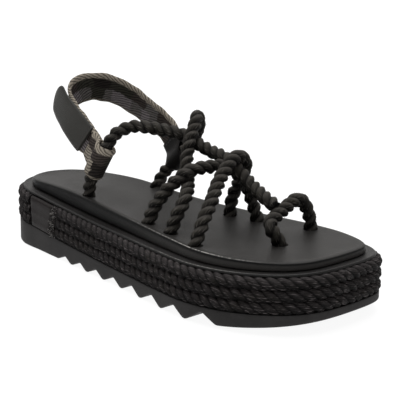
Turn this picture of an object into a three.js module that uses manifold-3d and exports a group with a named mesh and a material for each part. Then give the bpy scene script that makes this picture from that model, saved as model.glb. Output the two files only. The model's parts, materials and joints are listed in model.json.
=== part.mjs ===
import * as THREE from 'three';
import { mergeVertices } from 'three/addons/utils/BufferGeometryUtils.js';
import Module from 'manifold-3d';

// A right rope sandal on a platform sole, in millimetres.
// +X runs to the toe, +Y to the big toe's side, and the floor is z = 0.

const wasm = await Module();
wasm.setup();

// Driving dimensions

const GAP = 0.3; // between two pieces that rest on each other

const SOLE = {
  length: 259,
  width: 103.7, // across the ball
  heelHeight: 16.7, // upper edge of the outsole at the heel
  waistHeight: 9.6,
  toeHeight: 11.7,
  toeSpring: 7.1,
  springStart: 0.69, // share of the length where the toe spring begins
  bevel: 1.2,
  heelTip: 0.038, // how far each tip lies to the big toe's side, as a share of the width
  toeTip: 0.077,
  stepsPerRow: 3, // outline points between two rows of the table
};

const TEETH = {
  count: 8,
  start: 0.244, // share of the length where the heel block ends
  end: 0.834, // and where the forefoot block starts
  growth: 0.047, // how much longer each gap is than the first, per gap
  apex: 0.55, // where the deepest point lies within a gap
  firstDepth: 3.2,
  lastDepth: 5.6,
  flat: 1.6, // width of a tooth's worn tip
};

const WRAP = {
  rows: 3,
  height: 18.8,
  bulge: 0.7, // how far the ropes stand out past the outsole
  sides: 6,
};

const COVER = {
  frontTop: 0.243, // shares of the length, for the four corners of the joint's cover
  frontBottom: 0.2,
  backTop: 0.122,
  backBottom: 0.135,
};

const RIM = { inset: 2.6, thickness: 1.7, lip: 0.6 };

const BED = {
  inset: 8.1,
  thickness: 8.5,
  edge: 3.2, // width of the rounded edge
  dish: 1.2,
};

const ROPE = {
  diameter: 7.6,
  valley: 0.76, // depth between two strands, as a share of the radius
  lay: 17, // length of one turn of a strand
  strands: 3,
  stepsPerLay: 8,
};

const INSTEP = 60; // height of the instep above the footbed, which the ropes follow

const STRAP = {
  width: 17.5,
  spread: 22.5, // width where it fans out round the rope
  thickness: 1.5,
  clearance: 0.8, // around the rope inside a loop
  overlap: 15, // length of the outer layer past the rope
  closing: 9, // length over which the two layers of a loop come together
  straight: 1, // from the end of a loop to the strap's free run
};

const TAB = {
  length: 48,
  width: 17.5,
  thickness: 2,
  lift: 3, // how far the tip stands off the strap
  bend: 0.4, // share of its length from which it runs straighter than the strap
  stiffness: 0.62, // how straight it is at its tip
};

const KEEPER = { thickness: 1.2, overlap: 5, closing: 9, endWidth: 14 };

// Each row is a station of the outline: its place along the length, and the distance of
// the little toe's side and the big toe's side from the middle, as shares of the width.
const OUTLINE = [
  { along: 0.026, lateral: 0.15, medial: 0.222 },
  { along: 0.083, lateral: 0.248, medial: 0.321 },
  { along: 0.167, lateral: 0.281, medial: 0.361 },
  { along: 0.271, lateral: 0.317, medial: 0.383 },
  { along: 0.384, lateral: 0.358, medial: 0.375 },
  { along: 0.51, lateral: 0.405, medial: 0.389 },
  { along: 0.639, lateral: 0.461, medial: 0.442 },
  { along: 0.755, lateral: 0.5, medial: 0.491 },
  { along: 0.86, lateral: 0.46, medial: 0.487 },
  { along: 0.95, lateral: 0.331, medial: 0.405 },
  { along: 0.988, lateral: 0.183, medial: 0.3 },
];

// Thickness of the footbed along the length, as shares of its greatest thickness.
const BED_PROFILE = [
  { along: 0, share: 0.3 },
  { along: 0.25, share: 1 },
  { along: 0.5, share: 0.92 },
  { along: 0.75, share: 0.68 },
  { along: 1, share: 0.45 },
];

// Section of the footbed's edge, as shares of the edge's width and the local thickness.
const BED_EDGE = [
  { inward: 0.1, rise: 0 },
  { inward: 0, rise: 0.45 },
  { inward: 0.28, rise: 0.84 },
  { inward: 1, rise: 1 },
];

// Routes of the upper's ropes: along is a share of the sole's length, side a share of its
// width to the big toe's side, and rise a share of the instep's height above the footbed.
const ROUTES = {
  spine: [
    { along: 0.306, side: -0.19, rise: 0 },
    { along: 0.319, side: -0.198, rise: 0.167 },
    { along: 0.35, side: -0.195, rise: 0.395 },
    { along: 0.367, side: -0.183, rise: 0.53 },
    { along: 0.384, side: -0.15, rise: 0.665 },
    { along: 0.406, side: -0.075, rise: 0.74 },
    { along: 0.44, side: 0, rise: 0.737 },
    { along: 0.492, side: 0.082, rise: 0.71 },
    { along: 0.512, side: 0.11, rise: 0.675 },
    { along: 0.541, side: 0.12, rise: 0.63 },
    { along: 0.573, side: 0.125, rise: 0.599 },
    { along: 0.62, side: 0.115, rise: 0.575 },
    { along: 0.673, side: 0.096, rise: 0.49 },
    { along: 0.717, side: 0.077, rise: 0.399 },
    { along: 0.762, side: 0.048, rise: 0.343 },
    { along: 0.795, side: 0.04, rise: 0.29 },
  ],
  instep: [
    { along: 0.628, side: -0.309, rise: 0 },
    { along: 0.637, side: -0.276, rise: 0.166 },
    { along: 0.638, side: -0.23, rise: 0.275 },
    { along: 0.613, side: -0.145, rise: 0.355 },
    { along: 0.578, side: -0.063, rise: 0.425 },
    { along: 0.557, side: -0.02, rise: 0.505 },
    { along: 0.543, side: 0.019, rise: 0.582 },
    { along: 0.536, side: 0.048, rise: 0.655 },
    { along: 0.528, side: 0.085, rise: 0.725 },
    { along: 0.52, side: 0.125, rise: 0.79 },
    { along: 0.508, side: 0.178, rise: 0.868 },
    { along: 0.489, side: 0.238, rise: 0.76 },
    { along: 0.443, side: 0.298, rise: 0.552 },
    { along: 0.388, side: 0.325, rise: 0.318 },
    { along: 0.346, side: 0.313, rise: 0.141 },
    { along: 0.339, side: 0.25, rise: 0 },
  ],
  cross: [
    { along: 0.545, side: -0.278, rise: 0 },
    { along: 0.557, side: -0.252, rise: 0.149 },
    { along: 0.574, side: -0.218, rise: 0.293 },
    { along: 0.589, side: -0.178, rise: 0.397 },
    { along: 0.604, side: -0.13, rise: 0.48 },
    { along: 0.615, side: -0.062, rise: 0.515 },
    { along: 0.622, side: 0.005, rise: 0.52 },
    { along: 0.63, side: 0.06, rise: 0.518 },
    { along: 0.643, side: 0.13, rise: 0.455 },
    { along: 0.655, side: 0.183, rise: 0.377 },
    { along: 0.656, side: 0.216, rise: 0.236 },
    { along: 0.661, side: 0.236, rise: 0.126 },
    { along: 0.672, side: 0.249, rise: 0 },
  ],
  ball: [
    { along: 0.725, side: -0.365, rise: 0 },
    { along: 0.723, side: -0.305, rise: 0.177 },
    { along: 0.71, side: -0.213, rise: 0.325 },
    { along: 0.689, side: -0.107, rise: 0.463 },
    { along: 0.677, side: -0.02, rise: 0.56 },
    { along: 0.669, side: 0.048, rise: 0.618 },
    { along: 0.664, side: 0.115, rise: 0.626 },
    { along: 0.655, side: 0.183, rise: 0.54 },
    { along: 0.634, side: 0.221, rise: 0.406 },
    { along: 0.612, side: 0.236, rise: 0.266 },
    { along: 0.601, side: 0.226, rise: 0.141 },
    { along: 0.603, side: 0.207, rise: 0 },
  ],
  toeRing: [
    { along: 0.794, side: 0.333, rise: 0 },
    { along: 0.791, side: 0.327, rise: 0.096 },
    { along: 0.79, side: 0.289, rise: 0.225 },
    { along: 0.794, side: 0.221, rise: 0.303 },
    { along: 0.797, side: 0.144, rise: 0.28 },
    { along: 0.801, side: 0.067, rise: 0.238 },
    { along: 0.807, side: -0.01, rise: 0.199 },
    { along: 0.812, side: -0.047, rise: 0.165 },
    { along: 0.822, side: -0.05, rise: 0.11 },
    { along: 0.829, side: -0.004, rise: 0 },
  ],
};

// Which ends of each route go down into the footbed.
const ANCHORS = {
  spine: { start: true, end: false },
  instep: { start: true, end: true },
  cross: { start: true, end: true },
  ball: { start: true, end: true },
  toeRing: { start: true, end: true },
};

// Middle of the heel strap, from the big toe's side round the heel to the little toe's
// side. Lean tips its width from upright towards the toe, and tuck tips it towards the big
// toe's side, in degrees.
const STRAP_ROUTE = [
  { along: 0.324, side: 0.366, rise: 0.575, lean: 36, tuck: 0 },
  { along: 0.281, side: 0.356, rise: 0.668, lean: 30, tuck: 0 },
  { along: 0.227, side: 0.329, rise: 0.795, lean: 22, tuck: 0 },
  { along: 0.194, side: 0.26, rise: 0.895, lean: 14, tuck: 0 },
  { along: 0.165, side: 0.173, rise: 0.942, lean: 5, tuck: 0 },
  { along: 0.15, side: 0.086, rise: 0.931, lean: 0, tuck: 0 },
  { along: 0.153, side: 0, rise: 0.87, lean: 6, tuck: 2 },
  { along: 0.171, side: -0.062, rise: 0.785, lean: 14, tuck: 8 },
  { along: 0.208, side: -0.111, rise: 0.705, lean: 20, tuck: 15 },
  { along: 0.242, side: -0.137, rise: 0.63, lean: 24, tuck: 20 },
  { along: 0.282, side: -0.15, rise: 0.53, lean: 27, tuck: 22 },
];

// Where the two loops of the strap take hold of a rope, as shares of that rope's length.
const LATERAL_LOOP = { rope: 'spine', at: 0.192 };
const MEDIAL_LOOP = { rope: 'instep', at: 0.8 };

// Width of the closing tab along its length, as shares.
const TAB_WIDTHS = [
  { along: 0, share: 1 },
  { along: 0.8, share: 1 },
  { along: 0.91, share: 0.9 },
  { along: 0.97, share: 0.7 },
  { along: 1, share: 0.45 },
];

// Small helpers for tables and vectors

const toX = (along) => (along - 0.5) * SOLE.length;
const toAlong = (x) => x / SOLE.length + 0.5;
const mix = (a, b, t) => a + (b - a) * t;

function fromTable(rows, place, key) {
  const last = rows.length - 1;
  let k = 0;
  while (k < last - 1 && place > rows[k + 1].along) k += 1;
  const [p, q] = [rows[k], rows[k + 1]];
  const slopeAt = (i) => {
    const [a, b] = [rows[Math.max(i - 1, 0)], rows[Math.min(i + 1, last)]];
    return (b[key] - a[key]) / (b.along - a.along);
  };
  const span = q.along - p.along;
  const t = THREE.MathUtils.clamp((place - p.along) / span, 0, 1);
  const bend = t * t * (3 - 2 * t);
  const lead = t * (1 - t) * (1 - t) * span * slopeAt(k);
  const tail = t * t * (t - 1) * span * slopeAt(k + 1);
  return mix(p[key], q[key], bend) + lead + tail;
}

// Heights of the sole's layers at a place along X

function floorLine(x) {
  const share = Math.max(0, toAlong(x) - SOLE.springStart) / (1 - SOLE.springStart);
  return SOLE.toeSpring * share * share;
}

function outsoleTop(x) {
  const t = 2 * toAlong(x) - 1;
  const ends = (SOLE.heelHeight + SOLE.toeHeight) / 2;
  const tilt = (SOLE.toeHeight - SOLE.heelHeight) / 2;
  return SOLE.waistHeight + tilt * t + (ends - SOLE.waistHeight) * t * t;
}

const wrapTop = (x) => outsoleTop(x) + WRAP.height;
const rimTop = (x) => wrapTop(x) + RIM.thickness;
const bedThickness = (x) => BED.thickness * fromTable(BED_PROFILE, toAlong(x), 'share');
const bedBottom = (x) => rimTop(x) + GAP;
const bedTop = (x) => rimTop(x) + bedThickness(x);

// Outline of the sole, with the same number of points on both sides

function makeOutline() {
  const corners = [new THREE.Vector3(toX(0), SOLE.heelTip * SOLE.width, 0)];
  for (const row of OUTLINE) {
    corners.push(new THREE.Vector3(toX(row.along), -row.lateral * SOLE.width, 0));
  }
  corners.push(new THREE.Vector3(toX(1), SOLE.toeTip * SOLE.width, 0));
  for (const row of [...OUTLINE].reverse()) {
    corners.push(new THREE.Vector3(toX(row.along), row.medial * SOLE.width, 0));
  }
  const curve = new THREE.CatmullRomCurve3(corners, true, 'centripetal');
  const count = corners.length * SOLE.stepsPerRow;
  return Array.from({ length: count }, (_, i) => {
    const point = curve.getPoint(i / count);
    const tangent = curve.getTangent(i / count);
    return { point, outward: new THREE.Vector3(tangent.y, -tangent.x, 0) };
  });
}

const outline = makeOutline();
const insetPoint = (i, inset) =>
  outline[i].point.clone().addScaledVector(outline[i].outward, -inset);

// Geometry from rows of vertices

function toGeometry(points, triangles) {
  const geometry = new THREE.BufferGeometry();
  const coordinates = points.flatMap((p) => [p.x, p.y, p.z]);
  geometry.setAttribute('position', new THREE.Float32BufferAttribute(coordinates, 3));
  geometry.setIndex(triangles);
  return geometry;
}

// Walls between rings of equal length; a closed stack joins its last ring to its first.
function wallTriangles(ringCount, size, closed = false) {
  const triangles = [];
  const walls = closed ? ringCount : ringCount - 1;
  for (let r = 0; r < walls; r += 1) {
    const next = ((r + 1) % ringCount) * size;
    for (let i = 0; i < size; i += 1) {
      const j = (i + 1) % size;
      const [a, b, c, d] = [r * size + i, r * size + j, next + j, next + i];
      triangles.push(a, b, c, a, c, d);
    }
  }
  return triangles;
}

// A layer of the sole: rings of the outline, each with its inset and its height, closed
// below and above by strips that run from side to side. The upper face may be dished.
function layer(rings, dish = 0) {
  const size = outline.length;
  const half = size / 2;
  const points = [];
  for (const ring of rings) {
    for (let i = 0; i < size; i += 1) {
      const p = insetPoint(i, ring.inset(i));
      points.push(p.setZ(ring.height(p.x)));
    }
  }
  const triangles = wallTriangles(rings.length, size);
  for (let i = 1; i < half - 1; i += 1) {
    const [a, b, c, d] = [i, i + 1, size - i - 1, size - i];
    triangles.push(a, c, b, a, d, c);
  }
  triangles.push(0, size - 1, 1, half - 1, half + 1, half);
  const top = (rings.length - 1) * size;
  const middle = points.length;
  for (let i = 1; i < half; i += 1) {
    const [p, q] = [points[top + i], points[top + size - i]];
    const depth = dish * Math.sin((Math.PI * i) / half);
    points.push(p.clone().add(q).multiplyScalar(0.5).setZ((p.z + q.z) / 2 - depth));
  }
  for (let i = 1; i < half - 1; i += 1) {
    const [a, b, m] = [top + i, top + i + 1, middle + i - 1];
    const [c, d] = [top + size - i - 1, top + size - i];
    triangles.push(a, b, m + 1, a, m + 1, m, m, m + 1, c, m, c, d);
  }
  const [heel, toe, end] = [top, top + half, middle + half - 2];
  triangles.push(heel, heel + 1, middle, heel, middle, heel + size - 1);
  triangles.push(toe - 1, toe, end, end, toe, toe + 1);
  return toGeometry(points, triangles);
}

// Solids that are cut or joined

function toSolid(geometry) {
  const bare = geometry.clone();
  bare.deleteAttribute('normal');
  bare.deleteAttribute('uv');
  const merged = mergeVertices(bare, 1e-4);
  return new wasm.Manifold(
    new wasm.Mesh({
      numProp: 3,
      vertProperties: new Float32Array(merged.attributes.position.array),
      triVerts: new Uint32Array(merged.index.array),
    }),
  );
}

function fromSolid(solid) {
  const mesh = solid.getMesh();
  const geometry = new THREE.BufferGeometry();
  geometry.setAttribute('position', new THREE.BufferAttribute(mesh.vertProperties, 3));
  geometry.setIndex(new THREE.BufferAttribute(mesh.triVerts, 1));
  return geometry;
}

// A prism across the sole from a side view drawn in X and Z, between two places along Y.
function acrossSole(sideView, fromY, toY) {
  const prism = new THREE.ExtrudeGeometry(new THREE.Shape(sideView), {
    depth: toY - fromY,
    bevelEnabled: false,
  });
  prism.rotateX(Math.PI / 2);
  prism.translate(0, toY, 0);
  return toSolid(prism);
}

// Outsole with its toothed waist

function toothGaps() {
  const [start, end] = [toX(TEETH.start), toX(TEETH.end)];
  const shares = Array.from({ length: TEETH.count }, (_, i) => 1 + i * TEETH.growth);
  const total = shares.reduce((sum, share) => sum + share, 0);
  let x = start;
  return shares.map((share, i) => {
    const width = ((end - start) * share) / total;
    const gap = { from: x, to: x + width, depth: 0 };
    gap.depth = mix(TEETH.firstDepth, TEETH.lastDepth, i / (TEETH.count - 1));
    x += width;
    return gap;
  });
}

function toothCutter(gap) {
  const tip = TEETH.flat / 2;
  const [from, to] = [gap.from + tip, gap.to - tip];
  const apex = mix(gap.from, gap.to, TEETH.apex);
  const roof = floorLine(apex) + gap.depth;
  const corners = [
    [from, -SOLE.bevel],
    [from, floorLine(from)],
    [apex - tip, roof],
    [apex + tip, roof],
    [to, floorLine(to)],
    [to, -SOLE.bevel],
  ];
  const sideView = corners.map(([x, z]) => new THREE.Vector2(x, z));
  return acrossSole(sideView, -SOLE.width, SOLE.width);
}

function outsoleGeometry() {
  const body = layer([
    { inset: () => SOLE.bevel, height: floorLine },
    { inset: () => 0, height: (x) => floorLine(x) + SOLE.bevel },
    { inset: () => 0, height: outsoleTop },
  ]);
  let solid = toSolid(body);
  for (const gap of toothGaps()) solid = solid.subtract(toothCutter(gap));
  return fromSolid(solid);
}

// Core of the platform, and the ropes wrapped round it

const rowPitch = WRAP.height / WRAP.rows;
const rowRadius = (rowPitch - GAP) / 2;
const rowInset = rowRadius - WRAP.bulge;
const coreInset = rowInset + rowRadius / Math.cos(Math.PI / WRAP.sides) + GAP;

function midsoleGeometry() {
  return layer([
    { inset: () => coreInset, height: (x) => outsoleTop(x) + GAP },
    { inset: () => coreInset, height: (x) => wrapTop(x) - GAP },
  ]);
}

// The joint's cover and the ropes' ends share this window in the side of the platform.
function coverWindow(grow) {
  const [low, high] = [0, SOLE.heelHeight + WRAP.height + rowPitch];
  const sideView = [
    new THREE.Vector2(toX(COVER.backBottom) - grow, low),
    new THREE.Vector2(toX(COVER.frontBottom) + grow, low),
    new THREE.Vector2(toX(COVER.frontTop) + grow, high),
    new THREE.Vector2(toX(COVER.backTop) - grow, high),
  ];
  return acrossSole(sideView, -SOLE.width, 0);
}

function wrapRowGeometry(row) {
  const size = outline.length;
  const points = [];
  for (let i = 0; i < size; i += 1) {
    const centre = insetPoint(i, rowInset);
    centre.setZ(outsoleTop(centre.x) + rowPitch * (row + 0.5));
    for (let k = 0; k < WRAP.sides; k += 1) {
      const angle = (2 * Math.PI * k) / WRAP.sides;
      const reach = rowRadius / Math.cos(Math.PI / WRAP.sides);
      const p = centre.clone().addScaledVector(outline[i].outward, reach * Math.cos(angle));
      points.push(p.setZ(p.z - reach * Math.sin(angle)));
    }
  }
  const loop = toGeometry(points, wallTriangles(size, WRAP.sides, true));
  return fromSolid(toSolid(loop).subtract(coverWindow(GAP)));
}

function coverGeometry() {
  const base = (x) => outsoleTop(x) + GAP;
  const top = (x) => wrapTop(x) - GAP;
  const outer = () => -WRAP.bulge;
  const band = toSolid(layer([{ inset: outer, height: base }, { inset: outer, height: top }]));
  const inner = () => coreInset - GAP;
  const core = toSolid(
    layer([
      { inset: inner, height: (x) => base(x) - 1 },
      { inset: inner, height: (x) => top(x) + 1 },
    ]),
  );
  return fromSolid(band.subtract(core).intersect(coverWindow(0)));
}

// Rim over the ropes, and the footbed on it

function rimGeometry() {
  return layer([
    { inset: () => RIM.inset + RIM.lip, height: wrapTop },
    { inset: () => RIM.inset, height: (x) => wrapTop(x) + RIM.thickness / 2 },
    { inset: () => RIM.inset + RIM.lip, height: rimTop },
  ]);
}

function footbedGeometry(cutters) {
  const rings = BED_EDGE.map((row) => ({
    inset: () => BED.inset + row.inward * BED.edge,
    height: (x) => mix(bedBottom(x), bedTop(x), row.rise),
  }));
  let solid = toSolid(layer(rings, BED.dish));
  for (const cutter of cutters) solid = solid.subtract(cutter);
  return fromSolid(solid);
}

// Ropes of the upper

const ropeRadius = ROPE.diameter / 2;

function toPoint(row) {
  const x = toX(row.along);
  return new THREE.Vector3(x, row.side * SOLE.width, bedTop(x) + row.rise * INSTEP);
}

function anchorPoints(row) {
  const top = toPoint(row);
  const foot = top.clone().setZ(bedBottom(top.x) + GAP);
  return [foot, foot.clone().lerp(top, 0.6)];
}

function ropeCurve(name) {
  const rows = ROUTES[name];
  const points = rows.map(toPoint);
  const ends = ANCHORS[name];
  if (ends.start) points.splice(0, 1, ...anchorPoints(rows[0]));
  if (ends.end) points.splice(-1, 1, ...anchorPoints(rows.at(-1)).reverse());
  return new THREE.CatmullRomCurve3(points, false, 'centripetal');
}

// A closed tube along a curve; section(angle, distance) gives its radius.
function tube(curve, steps, sides, turnAt, radiusOf) {
  const frames = curve.computeFrenetFrames(steps, false);
  const length = curve.getLength();
  const points = [];
  for (let s = 0; s <= steps; s += 1) {
    const centre = curve.getPointAt(s / steps);
    const turn = turnAt((length * s) / steps);
    for (let k = 0; k < sides; k += 1) {
      const angle = turn + (2 * Math.PI * k) / sides;
      const radius = radiusOf(k);
      const across = frames.normals[s].clone().multiplyScalar(radius * Math.cos(angle));
      across.addScaledVector(frames.binormals[s], radius * Math.sin(angle));
      points.push(centre.clone().add(across));
    }
  }
  const triangles = wallTriangles(steps + 1, sides);
  return closeEnds(points, triangles, sides);
}

// Fans over the first and last rings of a tube.
function closeEnds(points, triangles, sides) {
  const start = points.length - sides;
  for (let k = 1; k < sides - 1; k += 1) {
    triangles.push(0, k + 1, k, start, start + k, start + k + 1);
  }
  return toGeometry(points, triangles);
}

function strandedRope(curve) {
  const steps = Math.round((curve.getLength() / ROPE.lay) * ROPE.stepsPerLay);
  const turnAt = (distance) => (2 * Math.PI * distance) / ROPE.lay;
  const radiusOf = (k) => (k % 2 === 0 ? ropeRadius : ropeRadius * ROPE.valley);
  return toSolid(tube(curve, steps, 2 * ROPE.strands, turnAt, radiusOf));
}

// Tiny pockets can be left sealed between crossing ropes: the outer skin is kept alone.
function outerSkin(geometry) {
  const index = geometry.index.array;
  const owner = Array.from({ length: geometry.attributes.position.count }, (_, i) => i);
  const find = (i) => {
    while (owner[i] !== i) i = owner[i] = owner[owner[i]];
    return i;
  };
  for (let t = 0; t < index.length; t += 3) {
    owner[find(index[t + 1])] = find(index[t]);
    owner[find(index[t + 2])] = find(index[t]);
  }
  const sizes = new Map();
  for (const corner of index) sizes.set(find(corner), (sizes.get(find(corner)) ?? 0) + 1);
  const [largest] = [...sizes].sort((a, b) => b[1] - a[1])[0];
  const kept = Array.from(index).filter((corner) => find(corner) === largest);
  const skin = geometry.clone();
  skin.setIndex(kept);
  return skin;
}

function upperGeometry() {
  const ropes = Object.keys(ROUTES).map((name) => strandedRope(ropeCurve(name)));
  return outerSkin(fromSolid(ropes.reduce((whole, rope) => whole.add(rope))));
}

// A hole in the footbed follows the end of its rope.
function holeCutters() {
  const sides = 12;
  const radius = (ropeRadius + GAP) / Math.cos(Math.PI / sides);
  const cutters = [];
  for (const name of Object.keys(ROUTES)) {
    const rows = ROUTES[name];
    const ends = [];
    if (ANCHORS[name].start) ends.push([rows[0], rows[1]]);
    if (ANCHORS[name].end) ends.push([rows.at(-1), rows.at(-2)]);
    for (const [foot, next] of ends) {
      const [low, middle] = anchorPoints(foot);
      const below = low.clone().setZ(low.z - 3 * GAP);
      const curve = new THREE.CatmullRomCurve3(
        [below, low, middle, toPoint(next)],
        false,
        'centripetal',
      );
      cutters.push(toSolid(tube(curve, sides, sides, () => 0, () => radius)));
    }
  }
  return cutters;
}

// Flat bands: each station has a middle, the direction of its width and its half width

function band(stations, thickness) {
  const points = [];
  stations.forEach((station, s) => {
    const before = stations[Math.max(s - 1, 0)].middle;
    const after = stations[Math.min(s + 1, stations.length - 1)].middle;
    const along = after.clone().sub(before).normalize();
    const across = station.across.clone().addScaledVector(along, -station.across.dot(along));
    across.setLength(station.half);
    const out = along.clone().cross(across).setLength(thickness / 2);
    points.push(
      station.middle.clone().add(across).add(out),
      station.middle.clone().sub(across).add(out),
      station.middle.clone().sub(across).sub(out),
      station.middle.clone().add(across).sub(out),
    );
  });
  return closeEnds(points, wallTriangles(stations.length, 4), 4);
}

// A loop's own axes: rope is the rope's direction, back points to the heel along the
// strap, and out points away from the foot.
function loopAxes(loop, towards) {
  const curve = ropeCurve(loop.rope);
  const centre = curve.getPointAt(loop.at);
  const rope = curve.getTangentAt(loop.at);
  if (rope.z < 0) rope.negate();
  const back = towards.clone().sub(centre);
  back.addScaledVector(rope, -back.dot(rope)).normalize();
  const out = back.clone().cross(rope);
  if (out.y * centre.y < 0) out.negate();
  return { centre, rope, back, out };
}

// Points of a layer that turns round the rope: from the inner side, round the front and
// back along the outer side. Radius is at the rope, and spread is half the distance
// between the two layers where they have come together.
function turnRound(axes, radius, spread, closing, ends, half) {
  const { centre, rope, back, out } = axes;
  const place = (b, o) => centre.clone().addScaledVector(back, b).addScaledVector(out, o);
  const layerAt = (distance, side) => {
    const t = THREE.MathUtils.smoothstep(distance, 0, closing);
    return place(distance, side * mix(radius, spread, t));
  };
  const middles = [];
  for (const distance of ends.inner) middles.push(layerAt(distance, -1));
  const steps = 8;
  for (let k = 0; k <= steps; k += 1) {
    const angle = (Math.PI * k) / steps;
    middles.push(place(-radius * Math.sin(angle), -radius * Math.cos(angle)));
  }
  for (const distance of ends.outer) middles.push(layerAt(distance, 1));
  return middles.map((middle, i) => ({
    middle,
    across: rope.clone(),
    half: half(i / (middles.length - 1)),
  }));
}

// Heel strap with its lateral loop

const lateralAxes = loopAxes(LATERAL_LOOP, toPoint(STRAP_ROUTE.at(-1)));
const medialAxes = loopAxes(MEDIAL_LOOP, toPoint(STRAP_ROUTE[0]));
const strapSpread = (STRAP.thickness + GAP) / 2;
const loopRadius = (thickness) => ropeRadius + STRAP.clearance + thickness / 2;

function widthDirection(row) {
  const lean = THREE.MathUtils.degToRad(row.lean);
  const tuck = THREE.MathUtils.degToRad(row.tuck);
  return new THREE.Vector3(Math.sin(lean), Math.sin(tuck), Math.cos(lean)).normalize();
}

// Middle line and width direction from the keeper round the heel to the lateral loop.
function strapCurves() {
  const { centre, rope, back } = medialAxes;
  const straight = KEEPER.closing + KEEPER.overlap + STRAP.straight;
  const atKeeper = (distance) => centre.clone().addScaledVector(back, distance);
  const middles = [atKeeper(KEEPER.closing), atKeeper(straight)];
  const acrosses = [rope.clone(), rope.clone()];
  for (const row of STRAP_ROUTE) {
    middles.push(toPoint(row));
    acrosses.push(widthDirection(row));
  }
  for (const distance of [STRAP.overlap + STRAP.straight, STRAP.closing]) {
    const inner = lateralAxes.centre.clone().addScaledVector(lateralAxes.back, distance);
    middles.push(inner.addScaledVector(lateralAxes.out, -strapSpread));
    acrosses.push(lateralAxes.rope.clone());
  }
  return {
    middle: new THREE.CatmullRomCurve3(middles, false, 'centripetal'),
    across: new THREE.CatmullRomCurve3(acrosses, false, 'centripetal'),
    segments: middles.length - 1,
  };
}

const strapLine = strapCurves();

function strapStation(u, half) {
  return { middle: strapLine.middle.getPoint(u), across: strapLine.across.getPoint(u), half };
}

function strapGeometry() {
  const half = STRAP.width / 2;
  const steps = strapLine.segments * 2;
  const stations = [];
  for (let i = 0; i < steps; i += 1) stations.push(strapStation(i / steps, half));
  const ends = {
    inner: [STRAP.closing, STRAP.closing / 2],
    outer: [STRAP.closing / 2, STRAP.closing, STRAP.overlap],
  };
  const radius = loopRadius(STRAP.thickness);
  const fan = (t) => mix(STRAP.spread, STRAP.width, Math.abs(2 * t - 1)) / 2;
  stations.push(...turnRound(lateralAxes, radius, strapSpread, STRAP.closing, ends, fan));
  return band(stations, STRAP.thickness);
}

// Closing tab on the strap's outer side, ending in a rounded tip that stands off a little

function tabGeometry() {
  const samples = 80;
  const points = strapLine.middle.getPoints(samples);
  const start = lateralAxes.centre
    .clone()
    .addScaledVector(lateralAxes.back, STRAP.overlap + 4 * STRAP.straight);
  const stations = [];
  let run = 0;
  for (let i = samples - 1; i > 0 && run < TAB.length; i -= 1) {
    const along = points[i].clone().sub(points[i + 1]).normalize();
    const beyond = points[i].clone().sub(start).dot(lateralAxes.back);
    if (stations.length === 0 && beyond < 0) continue;
    if (stations.length > 0) run += points[i].distanceTo(points[i + 1]);
    const share = Math.min(run / TAB.length, 1);
    const width = TAB.width * fromTable(TAB_WIDTHS, share, 'share');
    const station = strapStation(i / samples, width / 2);
    const out = station.across.clone().cross(along).normalize();
    const offset = (STRAP.thickness + TAB.thickness) / 2 + 2 * GAP;
    station.middle.addScaledVector(out, offset + TAB.lift * share * share);
    stations.push({ ...station, run, share });
  }
  stiffen(stations);
  return band(stations, TAB.thickness);
}

// Past its bend the tab leaves the strap's curve for a straight line.
function stiffen(stations) {
  const bend = stations.findIndex((station) => station.share >= TAB.bend);
  const from = stations[bend];
  const ahead = from.middle.clone().sub(stations[bend - 1].middle).normalize();
  for (const station of stations.slice(bend)) {
    const ease = TAB.stiffness * THREE.MathUtils.smoothstep(station.share, TAB.bend, 1);
    const straight = from.middle.clone().addScaledVector(ahead, station.run - from.run);
    station.middle.lerp(straight, ease);
    station.across.lerp(from.across, ease);
  }
}

// Leather keeper that joins the strap's other end to its rope

function keeperGeometry() {
  const layers = [
    KEEPER.closing / 2,
    KEEPER.closing,
    KEEPER.closing + KEEPER.overlap,
  ];
  const ends = { inner: [...layers].reverse(), outer: layers };
  const radius = loopRadius(KEEPER.thickness);
  const spread = (STRAP.thickness + KEEPER.thickness) / 2 + GAP;
  const half = (t) =>
    mix(KEEPER.endWidth, STRAP.width, Math.abs(2 * t - 1)) / 2;
  return band(
    turnRound(medialAxes, radius, spread, KEEPER.closing, ends, half),
    KEEPER.thickness,
  );
}

// Pieces of the sandal

const MATERIALS = {
  rubber: new THREE.MeshStandardMaterial({ color: 0x5c5a58, roughness: 0.85 }),
  core: new THREE.MeshStandardMaterial({ color: 0x3a3837, roughness: 0.9 }),
  rope: new THREE.MeshStandardMaterial({ color: 0x45413e, roughness: 0.95 }),
  leather: new THREE.MeshStandardMaterial({ color: 0x4c4948, roughness: 0.6 }),
  bed: new THREE.MeshStandardMaterial({ color: 0x6a6766, roughness: 0.65 }),
  webbing: new THREE.MeshStandardMaterial({ color: 0x8d8377, roughness: 0.95 }),
};

const sandal = new THREE.Group();

function addPiece(name, geometry, material) {
  geometry.computeVertexNormals();
  const mesh = new THREE.Mesh(geometry, MATERIALS[material]);
  mesh.name = name;
  sandal.add(mesh);
}

addPiece('outsole', outsoleGeometry(), 'rubber');
addPiece('midsole', midsoleGeometry(), 'core');
for (let row = 0; row < WRAP.rows; row += 1) {
  addPiece(`wrap_rope_${row + 1}`, wrapRowGeometry(row), 'rope');
}
addPiece('wrap_cover', coverGeometry(), 'leather');
addPiece('rim', rimGeometry(), 'leather');
addPiece('footbed', footbedGeometry(holeCutters()), 'bed');
addPiece('rope_upper', upperGeometry(), 'rope');
addPiece('heel_strap', strapGeometry(), 'webbing');
addPiece('closing_tab', tabGeometry(), 'leather');
addPiece('strap_keeper', keeperGeometry(), 'leather');

// The origin is the middle of the footprint, on the floor.
const bounds = new THREE.Box3().setFromObject(sandal);
const middle = bounds.getCenter(new THREE.Vector3());
for (const piece of sandal.children) piece.geometry.translate(-middle.x, -middle.y, 0);

export default sandal;
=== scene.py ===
"""Rope sandal: the sole's layers, the ropes, the heel strap and their finishes, on a pale floor."""

import json
import math

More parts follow.
